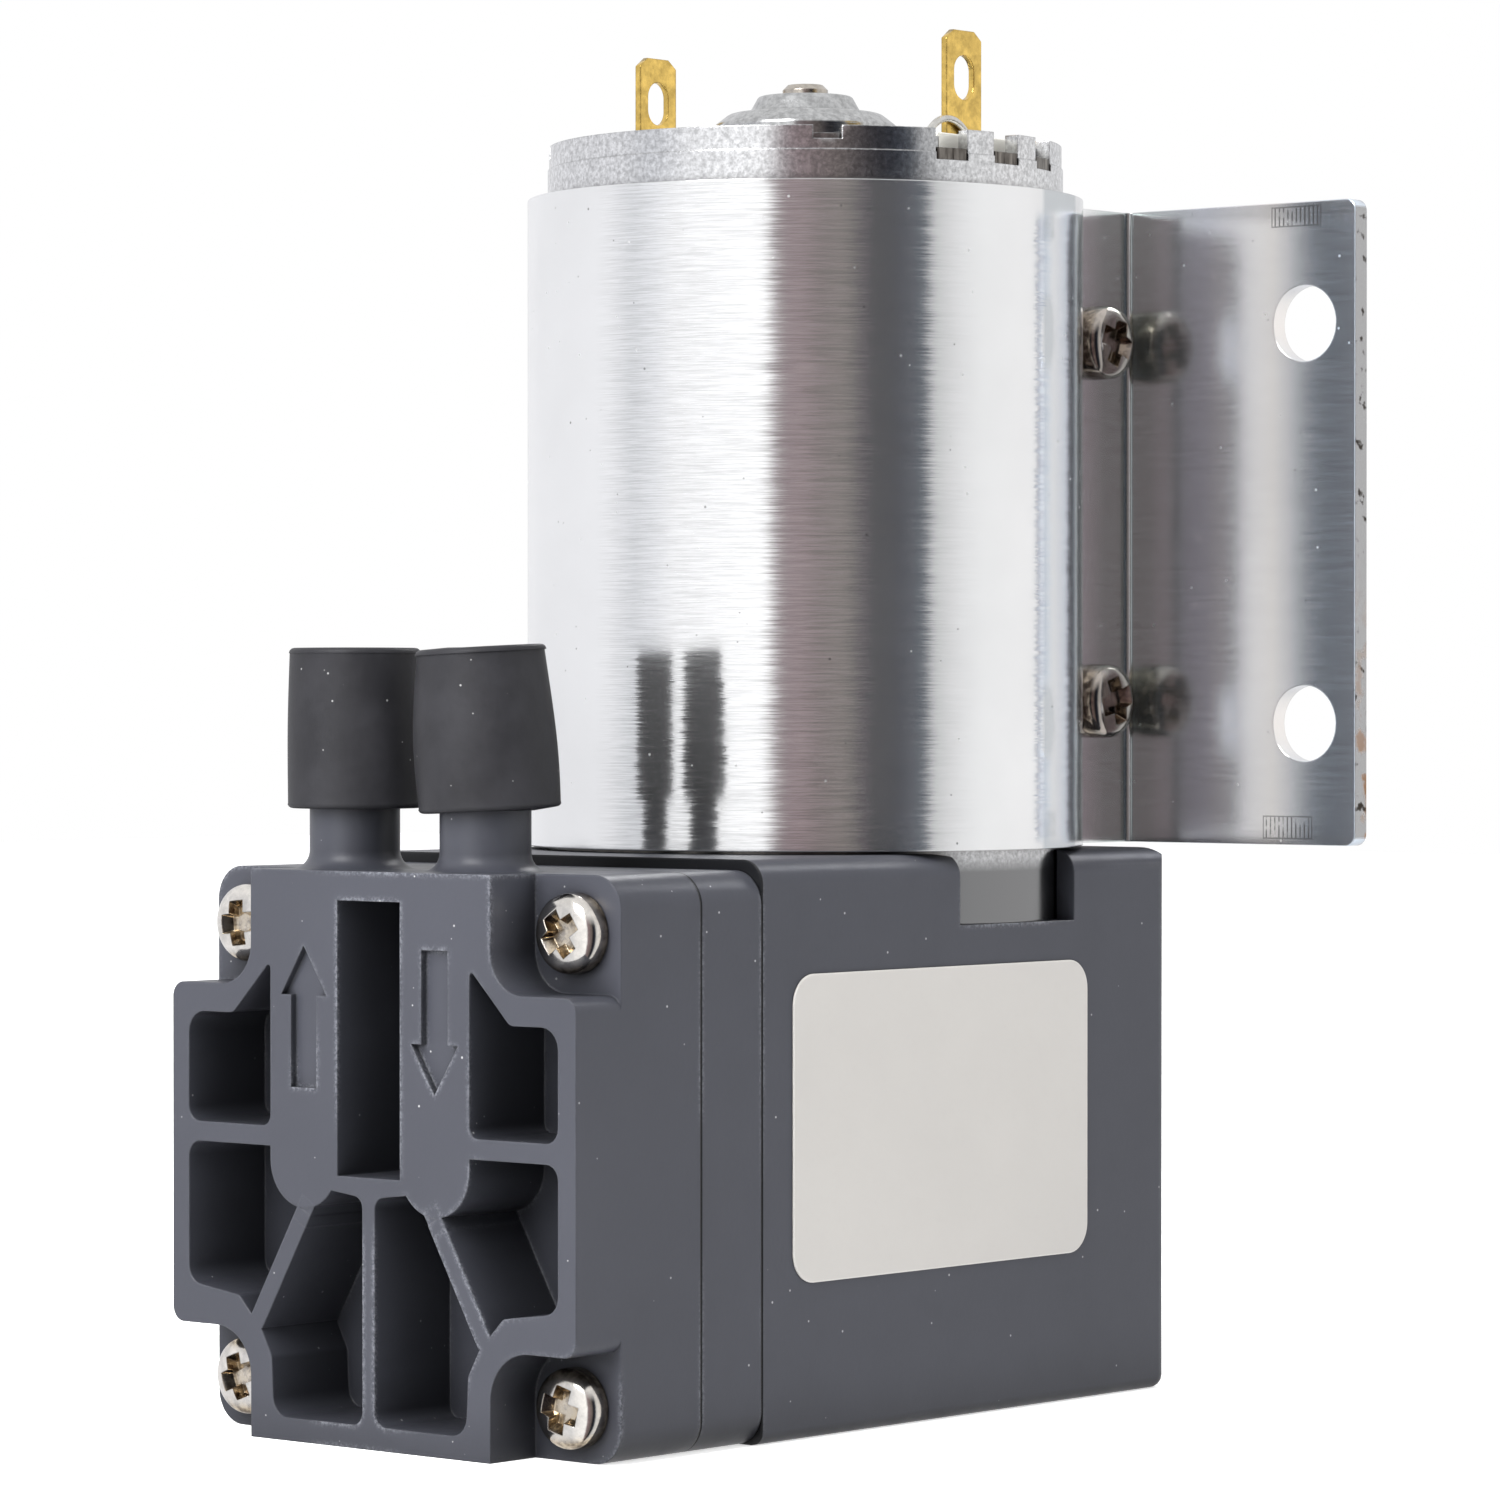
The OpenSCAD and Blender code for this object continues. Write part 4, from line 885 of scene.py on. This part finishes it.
def join_into(target: bmesh.types.BMesh, part: bmesh.types.BMesh, place: Matrix) -> None:
    """Adds a placed copy of one mesh to another and frees the first.

    Args:
        target: The mesh that grows.
        part: The mesh that is added.
        place: Where it goes.
    """
    bmesh.ops.transform(part, matrix=place, verts=part.verts)
    mesh = bpy.data.meshes.new("part")
    part.to_mesh(mesh)
    part.free()
    target.from_mesh(mesh)
    bpy.data.meshes.remove(mesh)


def cut(body: bmesh.types.BMesh, tool: bmesh.types.BMesh) -> bmesh.types.BMesh:
    """Cuts one closed mesh with another.

    Args:
        body: The mesh that is cut; it is freed.
        tool: The cutting mesh; it is freed.

    Returns:
        The cut mesh.
    """
    things = [as_object(body, "body"), as_object(tool, "tool")]
    modifier = things[0].modifiers.new("cut", "BOOLEAN")
    modifier.operation = "DIFFERENCE"
    modifier.solver = "EXACT"
    modifier.object = things[1]
    shape = things[0].evaluated_get(bpy.context.evaluated_depsgraph_get())
    result = bmesh.new()
    result.from_mesh(shape.to_mesh())
    shape.to_mesh_clear()
    for thing in things:
        mesh = thing.data
        bpy.data.objects.remove(thing)
        bpy.data.meshes.remove(mesh)
    return result


@dataclass
class PanScrew:
    """Pan head screw with a cross recess; its seat is at height 0 and its shank points to -Z."""

    head_radius: float = 2.6 * MM
    head_height: float = 2.0 * MM
    shank_radius: float = 1.5 * MM
    rim: float = 0.55 * MM
    crown_power: float = 0.62
    crown_steps: int = 12
    chamfer: float = 0.12 * MM
    recess_reach: float = 1.65 * MM
    recess_width: float = 1.5 * MM
    recess_depth: float = 0.85 * MM
    # Reach and width of the recess at its bottom and above the head, as shares
    recess_taper: tuple[tuple[float, float], tuple[float, float]] = ((0.62, 0.6), (1.1, 1.0))

    def head_profile(self, shank_length: float) -> list[tuple[float, float]]:
        """Profile of head and shank, from the crown to the tip.

        Args:
            shank_length: Length of the shank.

        Returns:
            Radius and height of its points.
        """
        rise = self.head_height - self.rim
        crown = [(self.head_radius * math.sin(t) ** 0.9,
                  self.rim + rise * math.cos(t) ** self.crown_power)
                 for t in (math.radians(90 * i / self.crown_steps)
                           for i in range(self.crown_steps))]
        crown[0] = (0.0, self.head_height)
        return crown + [(self.head_radius, self.rim), (self.head_radius, self.chamfer),
                        (self.head_radius - self.chamfer, 0.0), (self.shank_radius, 0.0),
                        (self.shank_radius, -shank_length), (0.0, -shank_length)]

    def mesh(self, shank_length: float) -> bmesh.types.BMesh:
        """The whole screw.

        Args:
            shank_length: Length of the shank.

        Returns:
            The mesh.
        """
        screw = turned(self.head_profile(shank_length), 48)
        for turn in (0.0, math.pi / 2):
            screw = cut(screw, self.bar(turn))
        return screw

    def bar(self, turn: float) -> bmesh.types.BMesh:
        """One tapered bar of the cross recess.

        Args:
            turn: Its direction about Z.

        Returns:
            The cutting mesh.
        """
        bar = bmesh.new()
        bmesh.ops.create_cube(bar, size=1.0)
        for vert in bar.verts:
            lower = vert.co.z < 0
            reach, width = self.recess_taper[0 if lower else 1]
            height = self.head_height + (-self.recess_depth if lower else 0.3 * MM)
            vert.co = Vector((vert.co.x * 2 * (self.recess_reach * reach),
                              vert.co.y * (self.recess_width * width), height))
        bmesh.ops.transform(bar, matrix=Matrix.Rotation(turn, 4, "Z"), verts=bar.verts)
        return bar


# Width of the rounding of each node that a rounded copy stands in for
HOUSING_ROUNDS = {"crankcase": 0.5 * MM, "bottom_cover": 0.28 * MM, "valve_body": 0.15 * MM,
                  "head_cover": 0.28 * MM, "rating_label": 0.05 * MM}
METAL_ROUNDS = {"motor_can": 0.12 * MM, "terminals": 0.08 * MM, "end_bell": 0.08 * MM,
                "bearing_boss": 0.15 * MM, "mounting_strap": 0.15 * MM}


@dataclass
class Shells:
    """Copies of CAD nodes with rounded edges."""

    rounds: dict[str, float]
    rim_round: float = 0.9 * MM
    brace_top: tuple[float, float] = (5.85 * MM, 15.0 * MM)
    brace_lean: tuple[float, float] = (4.4 * MM, -7.55 * MM)
    root_size: tuple[float, float, float] = (1.26 * MM, 6.9 * MM, 1.7 * MM)

    def build(self, finishes: Finishes) -> None:
        """Builds the pieces.

        Args:
            finishes: The pump's finishes.
        """
        for node, width in self.rounds.items():
            bm = merged_copy(node)
            if node == "crankcase":
                round_lower_rim(bm, self.rim_round)
            soften(bm, width)
            if node == "head_cover":
                for side in Side:
                    join_into(bm, self.brace_root(side), Matrix())
            Piece(node).finish(bm, finishes)

    def brace_root(self, side: Side) -> bmesh.types.BMesh:
        """Root that joins a slanting brace of the head to the round end of its duct.

        Args:
            side: Side of the head.

        Returns:
            The closed mesh, in place.
        """
        bm = bmesh.new()
        bmesh.ops.create_cube(bm, size=1.0)
        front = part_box("head_cover")[0][1] + 0.03 * MM
        bmesh.ops.scale(bm, vec=self.root_size, verts=bm.verts)
        turn = math.atan2(self.brace_lean[0], -self.brace_lean[1]) * side.value
        bmesh.ops.transform(bm, matrix=Matrix.Rotation(-turn, 4, "Y"), verts=bm.verts)
        bmesh.ops.translate(bm, verts=bm.verts, vec=(
            side.value * self.brace_top[0], front + self.root_size[1] / 2, self.brace_top[1]))
        return bm


@dataclass
class Fasteners:
    """Head screws and clamp screws."""

    head_screw: PanScrew = field(default_factory=PanScrew)
    clamp_screw: PanScrew = field(default_factory=lambda: PanScrew(
        shank_radius=1.45 * MM, crown_power=0.45, recess_reach=1.85 * MM,
        recess_width=1.6 * MM))
    turns: dict[str, tuple[float, ...]] = field(default_factory=lambda: {
        "head_screws": (0.35, 0.1, -0.25, 0.6), "clamp_screws": (0.3, -0.35)})

    def build(self, finishes: Finishes) -> None:
        """Builds both groups of screws on the seats that the CAD model gives.

        Args:
            finishes: The pump's finishes.
        """
        low, high = (Vector(corner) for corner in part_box("head_screws"))
        radius = self.head_screw.head_radius
        seat = low.y + self.head_screw.head_height
        self.group("head_screws", self.head_screw, high.y - seat, finishes, [
            Matrix.Translation((x, seat, z)) @ Matrix.Rotation(math.pi / 2, 4, "X")
            for x in (low.x + radius, high.x - radius)
            for z in (low.z + radius, high.z - radius)])
        low, high = (Vector(corner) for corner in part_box("clamp_screws"))
        radius = self.clamp_screw.head_radius
        seat = high.x - self.clamp_screw.head_height
        self.group("clamp_screws", self.clamp_screw, seat - low.x, finishes, [
            Matrix.Translation((seat, (low.y + high.y) / 2, z))
            @ Matrix.Rotation(math.pi / 2, 4, "Y")
            for z in (low.z + radius, high.z - radius)])

    def group(self, node: str, screw: PanScrew, shank_length: float, finishes: Finishes,
              seats: list[Matrix]) -> None:
        """Builds a group of like screws, each turned a little differently.

        Args:
            node: The node that they stand for.
            screw: The screw.
            shank_length: Length of its shank.
            finishes: The pump's finishes.
            seats: Place of each screw.
        """
        screws = bmesh.new()
        for seat, turn in zip(seats, self.turns[node]):
            join_into(screws, screw.mesh(shank_length), seat @ Matrix.Rotation(turn, 4, "Z"))
        Piece(node).finish(screws, finishes, 30.0)


@dataclass
class Cap:
    """Soft rubber cap pushed on a hose port; its node has its body's name."""

    body: Body
    lean: float = 0.0
    flare: float = 0.0
    bulge: float = 0.1 * MM
    taper: float = 0.12 * MM
    waist: float = 0.1 * MM
    ripple: float = 0.012
    rows: int = 16
    wall_top: float = 1.6 * MM
    lip: float = 0.35 * MM
    bore: float = 3.0 * MM

    def build(self, finishes: Finishes) -> None:
        """Builds the cap.

        Args:
            finishes: The pump's finishes.
        """
        node = self.body.value
        low, high = (Vector(corner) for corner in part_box(node))
        radius = (high.x - low.x) / 2
        height = high.z - low.z
        centre = Vector(((low.x + high.x) / 2, (low.y + high.y) / 2, low.z))
        outer = []
        for i in range(self.rows + 1):
            share = i / self.rows
            swell = self.bulge * math.sin(math.pi * share * 1.1) - self.taper * share
            outer.append((radius - 0.05 * MM + swell - self.waist * math.sin(math.pi * share),
                          self.lip + (height - 2 * self.lip) * share))
        top = arc((radius - self.lip - 0.15 * MM, height - self.lip), self.lip, 0, 90, 5)
        foot = arc((radius - self.lip, self.lip), self.lip, -90, 0, 4)
        profile = ([(0.0, height - self.wall_top), (self.bore, height - self.wall_top),
                    (self.bore, 0.25 * MM), (self.bore + 0.2 * MM, 0.0)] + foot[:-1] + outer + top
                   + [(radius * 0.55, height - 0.04 * MM), (0.0, height - 0.1 * MM)])
        bm = turned(profile, 64)
        for vert in bm.verts:
            share = vert.co.z / height
            wave = math.sin(3 * math.atan2(vert.co.y, vert.co.x) + 4 * share)
            if Vector(vert.co.xy).length > self.bore * 1.1:
                flare = (1.0 + self.ripple * wave) * (1.0 + self.flare * (0.6 - share))
                vert.co.x *= flare
                vert.co.y *= flare
                across = SIDEWAYS[0] * vert.co.x + SIDEWAYS[1] * vert.co.y
                drift = self.lean * (vert.co.z - height * 0.45)
                vert.co.z += self.lean * -across
                vert.co.x += SIDEWAYS[0] * drift
                vert.co.y += SIDEWAYS[1] * drift
        bmesh.ops.translate(bm, vec=centre, verts=bm.verts)
        Piece(node, self.body).finish(bm, finishes, 60.0)


def dress_nodes(finishes: Finishes) -> None:
    """Gives every node of the CAD model the finish of its slot.

    Args:
        finishes: The pump's finishes.
    """
    for name, thing in frame["nodes"].items():
        finishes.dress(thing, finishes.slot_of(name), name)


@dataclass
class Studio:
    """Camera, floor, lights and the bright surroundings with dark flags."""

    camera_at: tuple[float, float, float] = (267.2 * MM, -316.25 * MM, 48.35 * MM)
    aim: tuple[float, float, float] = (-2.913 * MM, -2.508 * MM, 44.60 * MM)
    lens: float = 142.76
    sensor: float = 36.0
    floor_size: float = 2.4
    # Turn from the camera and rise in degrees, distance and size in metres, power in watts
    lights: tuple[tuple[str, float, float, float, float, float], ...] = (
        ("key", -38.0, 42.0, 0.9, 0.4, 7.0), ("front", -42.0, 16.0, 1.0, 0.5, 13.0),
        ("fill", 62.0, 22.0, 1.0, 0.7, 3.5), ("top", -20.0, 78.0, 0.9, 0.7, 9.0))
    matt_light: float = 0.42
    peak: float = 2.5
    # Upward part of the direction where the walls start to turn white, and where they are
    wall_top: tuple[float, float] = (0.35, 0.75)
    # Brightness round the camera, by the turn from it in degrees
    surround: tuple[tuple[float, Colour], ...] = (
        (-180, (0.85, 0.85, 0.86)), (-158, (0.93, 0.93, 0.95)), (-121, (0.93, 0.93, 0.95)),
        (-89, (0.96, 0.96, 0.98)), (-76, (0.80, 0.81, 0.84)), (-65, (0.94, 0.95, 0.98)),
        (-56, (1.12, 1.12, 1.13)), (-17.5, (1.35, 1.35, 1.35)), (-12.5, (0.42, 0.37, 0.375)),
        (-9, (0.27, 0.20, 0.212)), (-3, (0.30, 0.222, 0.23)), (5, (0.21, 0.165, 0.163)),
        (14, (0.205, 0.173, 0.161)), (18, (0.153, 0.132, 0.122)), (22, (0.08, 0.066, 0.074)),
        (27, (0.022, 0.021, 0.025)), (37, (0.015, 0.0165, 0.026)), (49, (0.065, 0.078, 0.101)),
        (53.5, (0.62, 0.62, 0.62)), (60, (0.75, 0.75, 0.75)), (67, (0.88, 0.88, 0.88)),
        (77, (0.97, 0.97, 0.965)), (104, (1.0, 0.99, 0.985)), (132, (0.90, 0.90, 0.90)),
        (152, (0.80, 0.80, 0.81)), (180, (0.85, 0.85, 0.86)))

    def build(self) -> None:
        """Builds the studio."""
        self.place_camera()
        self.lay_floor()
        self.hang_lights()
        self.surround_world()
        bpy.context.scene.view_settings.view_transform = "Standard"

    def place_camera(self) -> None:
        """Creates the camera at the photograph's viewing angle."""
        data = bpy.data.cameras.new("camera")
        data.lens = self.lens
        data.sensor_width = self.sensor
        data.sensor_fit = "HORIZONTAL"
        data.clip_start = 0.01
        data.clip_end = 20.0
        camera = bpy.data.objects.new("camera", data)
        bpy.context.collection.objects.link(camera)
        gaze = Vector(self.aim) - Vector(self.camera_at)
        camera.location = self.camera_at
        camera.rotation_euler = gaze.to_track_quat("-Z", "Y").to_euler()
        bpy.context.scene.camera = camera

    def lay_floor(self) -> None:
        """Lays the pale plain floor."""
        bm = bmesh.new()
        bmesh.ops.create_grid(bm, x_segments=1, y_segments=1, size=self.floor_size / 2)
        floor = as_object(bm, "floor")
        floor.location.z = -0.02 * MM
        floor.visible_glossy = False
        paper = bpy.data.materials.new("floor_paper")
        Sheet(paper).surface(Base_Color=(0.9, 0.9, 0.9), Roughness=0.9,
                             Emission_Color=(1.0, 1.0, 1.0), Emission_Strength=0.62)
        floor.data.materials.append(paper)

    def hang_lights(self) -> None:
        """Hangs the soft boxes."""
        aim = Vector((0.0, 0.0, 40.0 * MM))
        for name, turn, rise, distance, size, power in self.lights:
            data = bpy.data.lights.new(name, "AREA")
            data.size = size
            data.energy = power
            lamp = bpy.data.objects.new(name, data)
            bpy.context.collection.objects.link(lamp)
            lamp.visible_glossy = name == "key"
            azimuth = self.camera_azimuth() + math.radians(turn)
            level = math.radians(rise)
            lamp.location = aim + distance * Vector((math.cos(azimuth) * math.cos(level),
                                                     math.sin(azimuth) * math.cos(level),
                                                     math.sin(level)))
            lamp.rotation_euler = (aim - lamp.location).to_track_quat("-Z", "Y").to_euler()

    def camera_azimuth(self) -> float:
        """Direction of the camera from the aim, in radians about Z."""
        away = Vector(self.camera_at) - Vector(self.aim)
        return math.atan2(away.y, away.x)

    def surround_world(self) -> None:
        """Surrounds the object with bright walls and dark flags, as a sheet metal shot needs."""
        world = bpy.data.worlds.new("studio")
        bpy.context.scene.world = world
        sheet = Sheet(world)
        way = sheet.along(sheet.coordinates["Generated"])
        turn = sheet.apply("SUBTRACT", sheet.apply("ARCTAN2", way[1], way[0]),
                           self.camera_azimuth())
        share = sheet.apply("FRACT", sheet.apply("MULTIPLY_ADD", turn, 1.0 / FULL_TURN, 0.5))
        ramp = sheet.add("ShaderNodeValToRGB", {0: share})
        stops = ramp.color_ramp.elements
        while len(stops) > 1:
            stops.remove(stops[-1])
        for index, (degrees, colour) in enumerate(self.surround):
            position = degrees / 360.0 + 0.5
            stop = stops[0] if index == 0 else stops.new(position)
            stop.position = position
            stop.color = (*(channel / self.peak for channel in colour), 1.0)
        walls = sheet.blend(sheet.band(way[2], *self.wall_top), ramp.outputs[0],
                            (1.0 / self.peak,) * 3)
        seen = sheet.add("ShaderNodeLightPath").outputs
        shown = sheet.add("ShaderNodeBackground", {0: walls, 1: self.peak}).outputs[0]
        for ray, strength in (("Is Diffuse Ray", self.matt_light), ("Is Camera Ray", 1.0)):
            plain = sheet.add("ShaderNodeBackground", {0: (1.0, 1.0, 1.0, 1.0), 1: strength})
            shown = sheet.add("ShaderNodeMixShader",
                              {0: seen[ray], 1: shown, 2: plain.outputs[0]}).outputs[0]
        sheet.add("ShaderNodeOutputWorld", {0: shown})


def main() -> None:
    """Builds the studio and all the pieces in order."""
    logging.basicConfig(level=logging.INFO, format="%(name)s %(message)s")
    finishes = Finishes()
    Studio().build()
    dress_nodes(finishes)
    Shells(HOUSING_ROUNDS).build(finishes)
    Fasteners().build(finishes)
    Shells(METAL_ROUNDS).build(finishes)
    Cap(Body.OUTLET_CAP).build(finishes)
    Cap(Body.INLET_CAP, lean=-0.055, flare=0.06, bulge=0.3 * MM).build(finishes)


if __name__ == "__main__":
    main()
